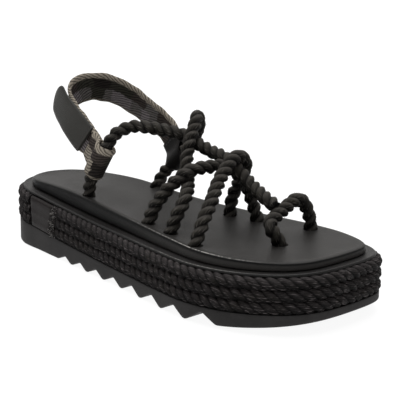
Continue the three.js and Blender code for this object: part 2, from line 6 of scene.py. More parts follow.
import bpy
import numpy as np
from bpy.props import FloatProperty, FloatVectorProperty, IntProperty, PointerProperty
from mathutils import Matrix, Vector

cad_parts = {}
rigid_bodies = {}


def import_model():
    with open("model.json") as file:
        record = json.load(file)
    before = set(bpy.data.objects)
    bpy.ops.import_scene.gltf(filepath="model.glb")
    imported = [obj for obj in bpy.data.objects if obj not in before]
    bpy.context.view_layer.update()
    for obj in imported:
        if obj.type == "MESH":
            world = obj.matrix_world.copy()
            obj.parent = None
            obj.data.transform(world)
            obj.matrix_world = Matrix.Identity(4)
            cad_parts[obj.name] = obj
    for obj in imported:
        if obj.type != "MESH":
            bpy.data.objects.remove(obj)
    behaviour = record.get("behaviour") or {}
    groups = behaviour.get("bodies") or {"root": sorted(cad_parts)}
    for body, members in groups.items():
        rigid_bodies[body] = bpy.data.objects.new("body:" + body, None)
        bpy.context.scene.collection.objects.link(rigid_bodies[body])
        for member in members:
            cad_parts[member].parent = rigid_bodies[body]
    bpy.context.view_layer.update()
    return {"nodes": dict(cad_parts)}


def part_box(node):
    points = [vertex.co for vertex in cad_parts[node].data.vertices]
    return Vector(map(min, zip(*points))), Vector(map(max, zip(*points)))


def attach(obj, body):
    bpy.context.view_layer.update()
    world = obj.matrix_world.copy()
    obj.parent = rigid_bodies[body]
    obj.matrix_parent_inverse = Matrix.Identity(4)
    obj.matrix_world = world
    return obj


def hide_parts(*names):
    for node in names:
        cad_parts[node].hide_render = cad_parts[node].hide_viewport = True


bl_info = {
    "name": "Rope Sandal",
    "version": (1, 0, 0),
    "blender": (4, 5, 0),
    "location": "3D View > Sidebar > Sandal",
    "description": "Builds a rope sandal on a platform sole, piece by piece",
    "category": "Add Mesh",
}

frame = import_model()
BODY = "root"
MM = 0.001

# Sizes of the sandal's solids, in millimetres, as in the part's source

GAP = 0.3
LENGTH = 259.0
WIDTH = 103.7
HEEL_HEIGHT = 16.7
WAIST_HEIGHT = 9.6
TOE_HEIGHT = 11.7
TOE_SPRING = 7.1
SPRING_START = 0.69
HEEL_TIP = 0.038
TOE_TIP = 0.077
TEETH = {"count": 8, "start": 0.244, "end": 0.834, "growth": 0.047, "apex": 0.55}
TOOTH_DEPTHS = (3.2, 5.6)
TOOTH_FLAT = 1.6
WRAP_HEIGHT = 18.8
WRAP_ROWS = 3
WRAP_BULGE = 0.7
COVER = {"front_top": 0.243, "front_bottom": 0.2, "back_top": 0.122, "back_bottom": 0.135}
COVER_DEPTH = 2.6
RIM_INSET = 2.6
RIM_THICKNESS = 1.7
BED_INSET = 8.1
BED_THICKNESS = 8.5
BED_EDGE_WIDTH = 3.2
BED_DISH = 1.2
ROPE_DIAMETER = 7.6
INSTEP = 60.0
STRAP_WIDTH = 17.5
STRAP_SPREAD = 22.5
STRAP_THICKNESS = 1.5
STRAP_CLEARANCE = 0.8
STRAP_OVERLAP = 15.0
STRAP_CLOSING = 9.0
STRAP_STRAIGHT = 1.0
TAB_START = STRAP_OVERLAP + 4 * STRAP_STRAIGHT
TAB_LENGTH = 48.0
TAB_WIDTH = 17.5
TAB_THICKNESS = 2.0
TAB_LIFT = 3.0
TAB_BEND = 0.4
TAB_STIFF = 0.62
TAB_ROUND = 0.83
TAB_SKEW = 1.6
KEEPER_THICKNESS = 1.2
KEEPER_OVERLAP = 5.0
KEEPER_CLOSING = 9.0
KEEPER_END_WIDTH = 14.0

# Rows of the outline: place along the length, and the distance of the little toe's side
# and the big toe's side from the middle, as shares of the width
OUTLINE = (
    (0.026, 0.15, 0.222),
    (0.083, 0.248, 0.321),
    (0.167, 0.281, 0.361),
    (0.271, 0.317, 0.383),
    (0.384, 0.358, 0.375),
    (0.51, 0.405, 0.389),
    (0.639, 0.461, 0.442),
    (0.755, 0.5, 0.491),
    (0.86, 0.46, 0.487),
    (0.95, 0.331, 0.405),
    (0.988, 0.183, 0.3),
)

# Thickness of the footbed along the length
BED_PROFILE = ((0.0, 0.3), (0.25, 1.0), (0.5, 0.92), (0.75, 0.68), (1.0, 0.45))

# Edge of the footbed from its foot upwards: how far in it lies and how high, as shares
BED_EDGE = (
    (0.12, 0), (0.02, 0.05), (0, 0.35), (0.02, 0.66), (0.13, 0.86), (0.4, 0.965), (0.7, 0.99), (1, 1),
)

# Routes of the upper's ropes: along, side and rise, as shares of length, width and instep
ROUTES = {
    "spine": (
        (0.306, -0.19, 0), (0.319, -0.198, 0.167), (0.35, -0.195, 0.395), (0.367, -0.183, 0.53),
        (0.384, -0.15, 0.665), (0.406, -0.075, 0.74), (0.44, 0, 0.737), (0.492, 0.082, 0.71),
        (0.512, 0.11, 0.675), (0.541, 0.12, 0.63), (0.573, 0.125, 0.599), (0.62, 0.115, 0.575),
        (0.673, 0.096, 0.49), (0.717, 0.077, 0.399), (0.762, 0.048, 0.343), (0.795, 0.04, 0.29),
    ),
    "instep": (
        (0.628, -0.309, 0), (0.637, -0.276, 0.166), (0.638, -0.23, 0.275), (0.613, -0.145, 0.355),
        (0.578, -0.063, 0.425), (0.557, -0.02, 0.505), (0.543, 0.019, 0.582), (0.536, 0.048, 0.655),
        (0.528, 0.085, 0.725), (0.52, 0.125, 0.79), (0.508, 0.178, 0.868), (0.489, 0.238, 0.76),
        (0.443, 0.298, 0.552), (0.388, 0.325, 0.318), (0.346, 0.313, 0.141), (0.339, 0.25, 0),
    ),
    "cross": (
        (0.545, -0.278, 0), (0.557, -0.252, 0.149), (0.574, -0.218, 0.293), (0.589, -0.178, 0.397),
        (0.604, -0.13, 0.48), (0.615, -0.062, 0.515), (0.622, 0.005, 0.52), (0.63, 0.06, 0.518),
        (0.643, 0.13, 0.455), (0.655, 0.183, 0.377), (0.656, 0.216, 0.236), (0.661, 0.236, 0.126),
        (0.672, 0.249, 0),
    ),
    "ball": (
        (0.725, -0.365, 0), (0.723, -0.305, 0.177), (0.71, -0.213, 0.325), (0.689, -0.107, 0.463),
        (0.677, -0.02, 0.56), (0.669, 0.048, 0.618), (0.664, 0.115, 0.626), (0.655, 0.183, 0.54),
        (0.634, 0.221, 0.406), (0.612, 0.236, 0.266), (0.601, 0.226, 0.141), (0.603, 0.207, 0),
    ),
    "toe_ring": (
        (0.794, 0.333, 0), (0.791, 0.327, 0.096), (0.79, 0.289, 0.225), (0.794, 0.221, 0.303),
        (0.797, 0.144, 0.28), (0.801, 0.067, 0.238), (0.807, -0.01, 0.199), (0.812, -0.047, 0.165),
        (0.822, -0.05, 0.11), (0.829, -0.004, 0),
    ),
}
FREE_ENDS = ("spine",)

# Middle of the heel strap: along, side, rise, lean and tuck, the last two in degrees
STRAP_ROUTE = (
    (0.324, 0.366, 0.575, 36, 0), (0.281, 0.356, 0.668, 30, 0), (0.227, 0.329, 0.795, 22, 0),
    (0.194, 0.26, 0.895, 14, 0), (0.165, 0.173, 0.942, 5, 0), (0.15, 0.086, 0.931, 0, 0),
    (0.153, 0, 0.87, 6, 2), (0.171, -0.062, 0.785, 14, 8), (0.208, -0.111, 0.705, 20, 15),
    (0.242, -0.137, 0.63, 24, 20), (0.282, -0.15, 0.53, 27, 22),
)
LATERAL_LOOP = ("spine", 0.192)
MEDIAL_LOOP = ("instep", 0.8)

# The ropes' strands stand a little past the solids' diameter, as shares of it, and the wrapped
# ropes lie a little further in than their solids, in millimetres
UPPER_FULLNESS = 1.05
WRAP_FULLNESS = 1.2
WRAP_SINK = 0.3

# Sewing, in metres: from one stitch to the next, and the thread
STITCH_PITCH = 0.0024
THREAD_THICKNESS = 0.0003

# Name of the webbing's UV map
CLOTH_MAP = "cloth"

# Where the front of the footbed and the rim carries painted light and shade at the walls' foot and a
# painted highlight on the rounding, in metres along X: it fades in and out again at the tip
PAINTED_FRONT_FADE_IN = (-0.01, 0.06)
PAINTED_FRONT_FADE_OUT = (0.105, 0.075)

# The camera, in millimetres and radians
CAMERA_PLACE = (487.24, -459.79, 207.67)
CAMERA_AIM = (-10.70, 34.18, 35.65)
CAMERA_ROLL = 0.0125625


# Helpers for curves and tables


def to_x(along):
    """Place along X, in millimetres, from a share of the length."""
    return (np.asarray(along) - 0.5) * LENGTH


def to_along(x):
    return np.asarray(x) / LENGTH + 0.5


def mix(a, b, t):
    return a + (b - a) * t


def unit(v):
    v = np.asarray(v, float)
    return v / np.maximum(np.linalg.norm(v, axis=-1, keepdims=True), 1e-12)


def smoothstep(value, low, high):
    t = np.clip((np.asarray(value, float) - low) / (high - low), 0, 1)
    return t * t * (3 - 2 * t)


def from_table(rows, place):
    """Smooth value between the rows of a two-column table."""
    keys = np.array([r[0] for r in rows], float)
    values = np.array([r[1] for r in rows], float)
    place = np.asarray(place, float)
    last = len(rows) - 1
    k = np.clip(np.searchsorted(keys, place, side="left") - 1, 0, last - 1)

    def slope(i):
        a, b = np.maximum(i - 1, 0), np.minimum(i + 1, last)
        return (values[b] - values[a]) / (keys[b] - keys[a])

    span = keys[k + 1] - keys[k]
    t = np.clip((place - keys[k]) / span, 0, 1)
    lead = t * (1 - t) ** 2 * span * slope(k)
    tail = t * t * (t - 1) * span * slope(k + 1)
    return mix(values[k], values[k + 1], t * t * (3 - 2 * t)) + lead + tail


def smooth_curve(points, shares, closed=False):
    """Points of a centripetal curve through the given ones, at shares of its parameter."""
    p = np.asarray(points, float)
    n = len(p)
    s = np.atleast_1d(np.asarray(shares, float)) * (n if closed else n - 1)
    k = np.floor(s).astype(int)
    w = s - k
    if closed:
        q = [p[(k + i) % n] for i in (-1, 0, 1, 2)]
    else:
        w = np.where(k >= n - 1, 1.0, w)
        k = np.minimum(k, n - 2)
        wide = np.vstack([2 * p[0] - p[1], p, 2 * p[-1] - p[-2]])
        q = [wide[k + i] for i in (0, 1, 2, 3)]
    d = [np.linalg.norm(q[i + 1] - q[i], axis=1, keepdims=True) ** 0.5 for i in range(3)]
    d[1] = np.where(d[1] < 1e-4, 1, d[1])
    d[0] = np.where(d[0] < 1e-4, d[1], d[0])
    d[2] = np.where(d[2] < 1e-4, d[1], d[2])
    m1 = (q[1] - q[0]) / d[0] - (q[2] - q[0]) / (d[0] + d[1]) + (q[2] - q[1]) / d[1]
    m2 = (q[2] - q[1]) / d[1] - (q[3] - q[1]) / (d[1] + d[2]) + (q[3] - q[2]) / d[2]
    m1, m2 = m1 * d[1], m2 * d[1]
    w = w[:, None]
    c2 = -3 * q[1] + 3 * q[2] - 2 * m1 - m2
    c3 = 2 * q[1] - 2 * q[2] + m1 + m2
    return q[1] + m1 * w + c2 * w**2 + c3 * w**3


def run_length(points):
    """Distance of each point from the start of its path."""
    steps = np.linalg.norm(np.diff(points, axis=0), axis=1)
    return np.concatenate([[0], np.cumsum(steps)])


def evenly(points, spacing):
    """The same path with its points at one spacing."""
    run = run_length(points)
    count = max(2, int(round(run[-1] / spacing)) + 1)
    at = np.linspace(0, run[-1], count)
    return np.column_stack([np.interp(at, run, points[:, i]) for i in range(3)])


# Heights and outline of the sole


def floor_line(x):
    share = np.maximum(0, to_along(x) - SPRING_START) / (1 - SPRING_START)
    return TOE_SPRING * share**2


def outsole_top(x):
    t = 2 * to_along(x) - 1
    ends = (HEEL_HEIGHT + TOE_HEIGHT) / 2
    tilt = (TOE_HEIGHT - HEEL_HEIGHT) / 2
    return WAIST_HEIGHT + tilt * t + (ends - WAIST_HEIGHT) * t * t


def wrap_top(x):
    return outsole_top(x) + WRAP_HEIGHT


def rim_top(x):
    return wrap_top(x) + RIM_THICKNESS


def bed_bottom(x):
    return rim_top(x) + GAP


def bed_top(x):
    return rim_top(x) + BED_THICKNESS * from_table(BED_PROFILE, to_along(x))


def tooth_rise(x):
    """Height of the toothed underside over the floor line."""
    x = np.asarray(x, float)
    start, end = to_x(TEETH["start"]), to_x(TEETH["end"])
    shares = 1 + np.arange(TEETH["count"]) * TEETH["growth"]
    edges = start + (end - start) * np.concatenate([[0], np.cumsum(shares)]) / shares.sum()
    xs, zs = [-LENGTH], [0.0]
    for i in range(TEETH["count"]):
        a, b = edges[i], edges[i + 1]
        apex = mix(a, b, TEETH["apex"])
        depth = mix(TOOTH_DEPTHS[0], TOOTH_DEPTHS[1], i / (TEETH["count"] - 1))
        tip = TOOTH_FLAT / 2
        xs += [a + tip, apex - tip, apex + tip, b - tip]
        roof = floor_line(apex) + depth
        zs += [0.0, roof - floor_line(apex - tip), roof - floor_line(apex + tip), 0.0]
    xs.append(LENGTH)
    zs.append(0.0)
    return np.interp(x, xs, zs)


def sole_stations():
    """The outline at common places along X: points and outward normals of both sides."""
    corners = [(to_x(0), HEEL_TIP * WIDTH, 0)]
    corners += [(to_x(a), -lateral * WIDTH, 0) for a, lateral, _ in OUTLINE]
    corners.append((to_x(1), TOE_TIP * WIDTH, 0))
    corners += [(to_x(a), medial * WIDTH, 0) for a, _, medial in reversed(OUTLINE)]
    count = 4800
    dense = smooth_curve(corners, np.arange(count) / count, closed=True)
    tangent = np.roll(dense, -1, axis=0) - np.roll(dense, 1, axis=0)
    normal = unit(np.column_stack([tangent[:, 1], -tangent[:, 0], np.zeros(count)]))
    n = 300
    x = to_x((1 - np.cos(np.pi * np.arange(n + 1) / n)) / 2)
    half = count // 2
    sides = []
    lateral = np.arange(0, half + 1)
    medial = np.concatenate([[0], np.arange(count - 1, half - 1, -1)])
    for order in (lateral, medial):
        xs = np.maximum.accumulate(dense[order, 0] + np.arange(len(order)) * 1e-9)
        y = np.interp(x, xs, dense[order, 1])
        nx = np.interp(x, xs, normal[order, 0])
        ny = np.interp(x, xs, normal[order, 1])
        sides.append((np.column_stack([x, y, 0 * x]), unit(np.column_stack([nx, ny, 0 * x]))))
    (pl, nl), (pm, nm) = sides
    points = np.vstack([pl, pm[-2:0:-1]])
    normals = np.vstack([nl, nm[-2:0:-1]])
    normals[0] = (-1, 0, 0)
    normals[n] = (1, 0, 0)
    return points, normals


RING, RING_OUT = sole_stations()
RING_SIZE = len(RING)
HALF = RING_SIZE // 2

cad_low, cad_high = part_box("outsole")
SIDE_SHIFT = (cad_low.y + cad_high.y) / 2 / MM - (RING[:, 1].min() + RING[:, 1].max()) / 2


def ring_at(inset, height):
    """One ring of the sole at an inset from the outline; height is a function of X."""
    p = RING - RING_OUT * inset
    p[:, 2] = height(p[:, 0])
    return p


# Routes of ropes and strap


def to_point(row):
    """Point of a route's row: along, side and rise over the footbed."""
    x = to_x(row[0])
    return np.array([x, row[1] * WIDTH, bed_top(x) + row[2] * INSTEP])


def anchor_points(row):
    """Two points of a rope's end: at the foot of its hole, and where it comes out."""
    top = to_point(row)
    foot = np.array([top[0], top[1], bed_bottom(top[0]) + GAP])
    return [foot, mix(foot, top, 0.6)]


def rope_path(name, spacing=0.5):
    """Middle of one of the upper's ropes."""
    rows = ROUTES[name]
    points = anchor_points(rows[0]) + [to_point(r) for r in rows[1:]]
    if name not in FREE_ENDS:
        points = points[:-1] + anchor_points(rows[-1])[::-1]
    return evenly(smooth_curve(points, np.linspace(0, 1, 1200)), spacing)


def loop_axes(loop, towards):
    """Where a band loops round a rope: centre, along the rope, back to the band, outwards."""
    path = rope_path(loop[0], 0.25)
    run = run_length(path)
    i = int(np.searchsorted(run, loop[1] * run[-1]))
    rope = unit(path[i + 1] - path[i - 1])
    if rope[2] < 0:
        rope = -rope
    back = np.asarray(towards) - path[i]
    back = unit(back - rope * back.dot(rope))
    out = np.cross(back, rope)
    if out[1] * path[i][1] < 0:
        out = -out
    return path[i], rope, back, out


def turn_round(axes, radius, spread, closing, inner, outer, half):
    """Middles, width directions and half widths of a layer folded round a rope."""
    centre, rope, back, out = axes

    def layer_at(distance, side):
        t = smoothstep(distance, 0, closing)
        return centre + back * distance + out * side * mix(radius, spread, t)

    middles = [layer_at(d, -1) for d in inner]
    steps = 20
    for k in range(1, steps):
        angle = math.pi * k / steps
        middles.append(centre - back * radius * math.sin(angle) - out * radius * math.cos(angle))
    middles += [layer_at(d, 1) for d in outer]
    middles = np.array(middles)
    share = run_length(middles)
    return middles, np.tile(rope, (len(middles), 1)), half(share / share[-1])


LATERAL_AXES = loop_axes(LATERAL_LOOP, to_point(STRAP_ROUTE[-1]))
MEDIAL_AXES = loop_axes(MEDIAL_LOOP, to_point(STRAP_ROUTE[0]))
STRAP_APART = (STRAP_THICKNESS + GAP) / 2


def loop_radius(thickness):
    """Radius of a band's middle where it turns round a rope."""
    return ROPE_DIAMETER / 2 + STRAP_CLEARANCE + thickness / 2


def strap_line(count):
    """Middles and width directions from the keeper round the heel to the lateral loop."""
    centre, rope, back, _ = MEDIAL_AXES
    straight = KEEPER_CLOSING + KEEPER_OVERLAP + STRAP_STRAIGHT
    middles = [centre + back * KEEPER_CLOSING, centre + back * straight]
    across = [rope, rope]
    for row in STRAP_ROUTE:
        lean, tuck = math.radians(row[3]), math.radians(row[4])
        middles.append(to_point(row))
        across.append(unit([math.sin(lean), math.sin(tuck), math.cos(lean)]))
    centre, rope, back, out = LATERAL_AXES
    for distance in (STRAP_OVERLAP + STRAP_STRAIGHT, STRAP_CLOSING):
        middles.append(centre + back * distance - out * STRAP_APART)
        across.append(rope)
    shares = np.linspace(0, 1, count)
    return smooth_curve(middles, shares), smooth_curve(across, shares)


# Meshes


def in_frame(point):
    """A point of the shared frame, in metres, from the part's own millimetres."""
    return Vector((point[0], point[1] + SIDE_SHIFT, point[2])) * MM


def add_object(name, data):
    """A new object in the scene, at the origin."""
    obj = bpy.data.objects.new(name, data)
    bpy.context.scene.collection.objects.link(obj)
    return obj


def new_object(name, points, faces, smooth=True, angle=None):
    """A mesh from points in millimetres; its edges are sharp past the angle, in degrees."""
    mesh = bpy.data.meshes.new(name)
    moved = np.asarray(points, float) + np.array([0, SIDE_SHIFT, 0])
    mesh.from_pydata((moved * MM).tolist(), [], [list(map(int, f)) for f in faces])
    mesh.validate()
    mesh.update()
    obj = add_object(name, mesh)
    if smooth:
        mesh.shade_smooth()
    if angle is not None:
        mesh.set_sharp_from_angle(angle=math.radians(angle))
    return obj


def wall_faces(rings, size, closed=True, offset=0):
    """Quads between rings that share one number of points."""
    faces = []
    last = size if closed else size - 1
    for r in range(rings - 1):
        for i in range(last):
            j = (i + 1) % size
            a, b = offset + r * size + i, offset + r * size + j
            faces.append((a, b, b + size, a + size))
    return faces


def across_faces(ring_start, columns_start, columns, upward):
    """Faces over a ring from side to side; columns is how many points lie between."""
    faces = []

    def index(i, c):
        if c == 0:
            return ring_start + i
        if c == columns + 1:
            return ring_start + (RING_SIZE - i) % RING_SIZE
        return columns_start + (i - 1) * columns + c - 1

    for i in range(1, HALF - 1):
        for c in range(columns + 1):
            quad = (index(i, c), index(i + 1, c), index(i + 1, c + 1), index(i, c + 1))
            faces.append(quad if upward else quad[::-1])
    for c in range(columns + 1):
        heel = (ring_start, index(1, c), index(1, c + 1))
        toe = (index(HALF - 1, c), ring_start + HALF, index(HALF - 1, c + 1))
        faces += [heel, toe] if upward else [heel[::-1], toe[::-1]]
    return faces


def across_points(ring, columns, drop=None):
    """Points between the two sides of a ring, for each place but the two tips."""
    shares = np.arange(1, columns + 1) / (columns + 1)
    rows = []
    for i in range(1, HALF):
        p, q = ring[i], ring[RING_SIZE - i]
        row = p + (q - p) * shares[:, None]
        if drop is not None:
            row[:, 2] -= drop(shares, i / HALF, row)
        rows.append(row)
    return np.vstack(rows)


def sole_layer(profile, top_columns=0, bottom_columns=0, dish=None, bottom=None):
    """A solid layer of the sole from rings of (inset, height function), closed by faces."""
    rings = [ring_at(inset, height) for inset, height in profile]
    points = [np.vstack(rings)]
    faces = wall_faces(len(rings), RING_SIZE)
    used = len(points[0])
    inner = across_points(rings[0], bottom_columns, bottom)
    faces += across_faces(0, used, bottom_columns, upward=False)
    points.append(inner)
    used += len(inner)
    inner = across_points(rings[-1], top_columns, dish)
    faces += across_faces((len(rings) - 1) * RING_SIZE, used, top_columns, upward=True)
    points.append(inner)
    return np.vstack(points), faces


def band_mesh(middles, across, halves, section):
    """A band swept along stations; section is a closed list of (share of half width, out)."""
    along = unit(np.gradient(middles, axis=0))
    across = unit(across - along * (across * along).sum(1, keepdims=True))
    out = np.cross(along, across)
    section = np.asarray(section, float)
    points = []
    for m, a, o, h in zip(middles, across, out, halves):
        points.append(m + a * (section[:, :1] * h) + o * section[:, 1:2])
    size = len(section)
    points = np.vstack(points)
    faces = wall_faces(len(middles), size)
    start = len(points) - size
    faces.append(tuple(range(size))[::-1])
    faces.append(tuple(range(start, start + size)))
    return points, faces


def flat_section(thickness, columns, edge=0.9, swell=None):
    """Outline of a flat band with rounded edges: (share of half width, out)."""
    shares = np.linspace(-1, 1, columns)
    body = thickness / 2 * (1 - np.abs(shares) ** 10 * edge)
    if swell is not None:
        body = body + swell(shares)
    lower = [(s, -b) for s, b in zip(shares, body)]
    upper = [(s, b) for s, b in zip(shares[::-1], body[::-1])]
    return upper + lower


def store_band_map(obj, lengths, section):
    """UV map of a band: U runs across its width from the lower edge, V along it in widths."""
    layer = obj.data.uv_layers.new(name=CLOTH_MAP)
    for loop in obj.data.loops:
        ring, k = divmod(loop.vertex_index, len(section))
        layer.data[loop.index].uv = (section[k][0] * 0.5 + 0.5, lengths[ring] / STRAP_WIDTH)


def finish_piece(obj, material, nodes):
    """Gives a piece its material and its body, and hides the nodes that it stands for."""
    if material is not None:
        obj.data.materials.clear()
        obj.data.materials.append(material)
    if nodes:
        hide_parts(*nodes)
    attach(obj, BODY)
    return obj


def keep_result(obj):
    """Turns an object's modifiers into a plain mesh."""
    bpy.context.view_layer.update()
    evaluated = obj.evaluated_get(bpy.context.evaluated_depsgraph_get())
    mesh = bpy.data.meshes.new_from_object(evaluated)
    name = obj.name
    result = add_object(name + "_made", mesh)
    bpy.data.objects.remove(obj)
    result.name = name
    return result


def path_object(name, points):
    """An open path as a curve object."""
    curve = bpy.data.curves.new(name, "CURVE")
    curve.dimensions = "3D"
    spline = curve.splines.new("POLY")
    spline.points.add(len(points) - 1)
    moved = (points + np.array([0, SIDE_SHIFT, 0])) * MM
    spline.points.foreach_set("co", np.column_stack([moved, np.ones(len(moved))]).ravel())
    return add_object(name, curve)


# Node trees


def add_node(tree, kind, inputs=None, **settings):
    """Adds a node; inputs are values or other sockets, by name or place."""
    node = tree.nodes.new(kind)
    for key, value in settings.items():
        setattr(node, key, value)
    for key, value in (inputs or {}).items():
        socket = node.inputs[key]
        if isinstance(value, bpy.types.NodeSocket):
            tree.links.new(value, socket)
        else:
            socket.default_value = value
    return node


def calc(tree, operation, *values):
    """Result of one sum on numbers or sockets."""
    return add_node(tree, "ShaderNodeMath", dict(enumerate(values)), operation=operation).outputs[0]


def object_place(tree):
    return add_node(tree, "ShaderNodeTexCoord").outputs["Object"]


def axes_of(tree, vector):
    return add_node(tree, "ShaderNodeSeparateXYZ", {0: vector}).outputs


def noise(tree, where, scale, detail=2.0, roughness=0.5):
    inputs = {"Vector": where, "Scale": scale, "Detail": detail, "Roughness": roughness}
    return add_node(tree, "ShaderNodeTexNoise", inputs).outputs[0]


def vector_calc(tree, operation, *values, scale=None):
    inputs = dict(enumerate(values))
    if scale is not None:
        inputs["Scale"] = scale
    node = add_node(tree, "ShaderNodeVectorMath", inputs, operation=operation)
    return node.outputs["Value" if operation in ("LENGTH", "DOT_PRODUCT") else "Vector"]


def new_tree(name, kind, inputs, outputs):
    """An empty node tree with named inputs and outputs."""
    tree = bpy.data.node_groups.new(name, kind)
    for socket_name, socket_type, default in inputs:
        socket = tree.interface.new_socket(socket_name, in_out="INPUT", socket_type=socket_type)
        if default is not None:
            socket.default_value = default
    for socket_name, socket_type in outputs:
        tree.interface.new_socket(socket_name, in_out="OUTPUT", socket_type=socket_type)
    start = tree.nodes.new("NodeGroupInput")
    end = tree.nodes.new("NodeGroupOutput")
    return tree, start.outputs, end.inputs


def stranded_rope_tree():
    """A rope along a path: a section of round strands that turns once in each lay."""
    name = "Stranded rope"
    if name in bpy.data.node_groups:
        return bpy.data.node_groups[name]
    tree, given, result = new_tree(
        name,
        "GeometryNodeTree",
        [
            ("Path", "NodeSocketGeometry", None),
            ("Diameter", "NodeSocketFloat", 0.0076),
            ("Lay", "NodeSocketFloat", 0.017),
            ("Strands", "NodeSocketInt", 3),
            ("Strand offset", "NodeSocketFloat", 0.4),
            ("Sides", "NodeSocketInt", 48),
            ("Step", "NodeSocketFloat", 0.0006),
            ("Unevenness", "NodeSocketFloat", 0.0004),
            ("Seed", "NodeSocketInt", 3),
            ("Material", "NodeSocketMaterial", None),
        ],
        [("Mesh", "NodeSocketGeometry")],
    )
    fine = add_node(
        tree,
        "GeometryNodeResampleCurve",
        {"Curve": given["Path"], "Length": given["Step"]},
        mode="LENGTH",
    )
    level = add_node(
        tree, "GeometryNodeSetCurveNormal", {"Curve": fine.outputs[0]}, mode="MINIMUM_TWIST"
    )
    length = add_node(tree, "GeometryNodeSplineParameter").outputs["Length"]
    turn = calc(tree, "MULTIPLY", calc(tree, "DIVIDE", length, given["Lay"]), 2 * math.pi)
    turned = add_node(
        tree, "GeometryNodeSetCurveTilt", {"Curve": level.outputs[0], "Tilt": turn}
    )
    kept = tree.nodes.new("GeometryNodeCaptureAttribute")
    kept.domain = "POINT"
    kept.capture_items.new("FLOAT", "length")
    tree.links.new(turned.outputs[0], kept.inputs[0])
    tree.links.new(length, kept.inputs[1])

    ring = add_node(
        tree,
        "GeometryNodeCurvePrimitiveCircle",
        {"Resolution": given["Sides"], "Radius": 1.0},
        mode="RADIUS",
    )
    spot = add_node(tree, "GeometryNodeInputPosition").outputs[0]
    part = axes_of(tree, spot)
    angle = calc(tree, "ARCTAN2", part[1], part[0])
    share = calc(tree, "DIVIDE", calc(tree, "MULTIPLY", angle, given["Strands"]), 2 * math.pi)
    centred = calc(tree, "SUBTRACT", calc(tree, "FRACT", share), 0.5)
    swing = calc(tree, "DIVIDE", calc(tree, "MULTIPLY", centred, 2 * math.pi), given["Strands"])
    offset = given["Strand offset"]
    girth = calc(tree, "SUBTRACT", 1.0, offset)
    side = calc(tree, "MULTIPLY", offset, calc(tree, "SINE", swing))
    girth_squared = calc(tree, "MULTIPLY", girth, girth)
    inner = calc(tree, "SUBTRACT", girth_squared, calc(tree, "MULTIPLY", side, side))
    ahead = calc(tree, "MULTIPLY", offset, calc(tree, "COSINE", swing))
    reach = calc(tree, "ADD", ahead, calc(tree, "SQRT", inner))
    radius = calc(tree, "MULTIPLY", given["Diameter"], 0.5)
    lobed = add_node(
        tree,
        "GeometryNodeSetPosition",
        {
            "Geometry": ring.outputs[0],
            "Position": vector_calc(
                tree, "SCALE", spot, scale=calc(tree, "MULTIPLY", reach, radius)
            ),
        },
    )
    ring_kept = tree.nodes.new("GeometryNodeCaptureAttribute")
    ring_kept.domain = "POINT"
    ring_kept.capture_items.new("VECTOR", "round")
    tree.links.new(lobed.outputs[0], ring_kept.inputs[0])
    tree.links.new(add_node(tree, "GeometryNodeInputPosition").outputs[0], ring_kept.inputs[1])
    skin = add_node(
        tree,
        "GeometryNodeCurveToMesh",
        {"Curve": kept.outputs[0], "Profile Curve": ring_kept.outputs[0], "Fill Caps": True},
    )
    around = vector_calc(tree, "NORMALIZE", ring_kept.outputs[1])
    split = axes_of(tree, around)
    packed = add_node(
        tree, "ShaderNodeCombineXYZ", {0: split[0], 1: split[1], 2: kept.outputs[1]}
    )
    stored = add_node(
        tree,
        "GeometryNodeStoreNamedAttribute",
        {"Geometry": skin.outputs[0], "Name": "strand", "Value": packed.outputs[0]},
        data_type="FLOAT_VECTOR",
        domain="POINT",
    )
    uneven = add_node(
        tree,
        "ShaderNodeTexNoise",
        {"Scale": 330.0, "Detail": 1.0, "W": calc(tree, "MULTIPLY", given["Seed"], 1.7)},
        noise_dimensions="4D",
    )
    wobble = calc(tree, "SUBTRACT", uneven.outputs[0], 0.55)
    push = vector_calc(
        tree,
        "SCALE",
        add_node(tree, "GeometryNodeInputNormal").outputs[0],
        scale=calc(tree, "MULTIPLY", wobble, given["Unevenness"]),
    )
    swollen = add_node(
        tree, "GeometryNodeSetPosition", {"Geometry": stored.outputs[0], "Offset": push}
    )
    shaded = add_node(tree, "GeometryNodeSetShadeSmooth", {"Geometry": swollen.outputs[0]})
    real = add_node(tree, "GeometryNodeRealizeInstances", {0: shaded.outputs[0]})
    dressed = add_node(
        tree,
        "GeometryNodeSetMaterial",
        {"Geometry": real.outputs[0], "Material": given["Material"]},
    )
    tree.links.new(dressed.outputs[0], result["Mesh"])
    return tree


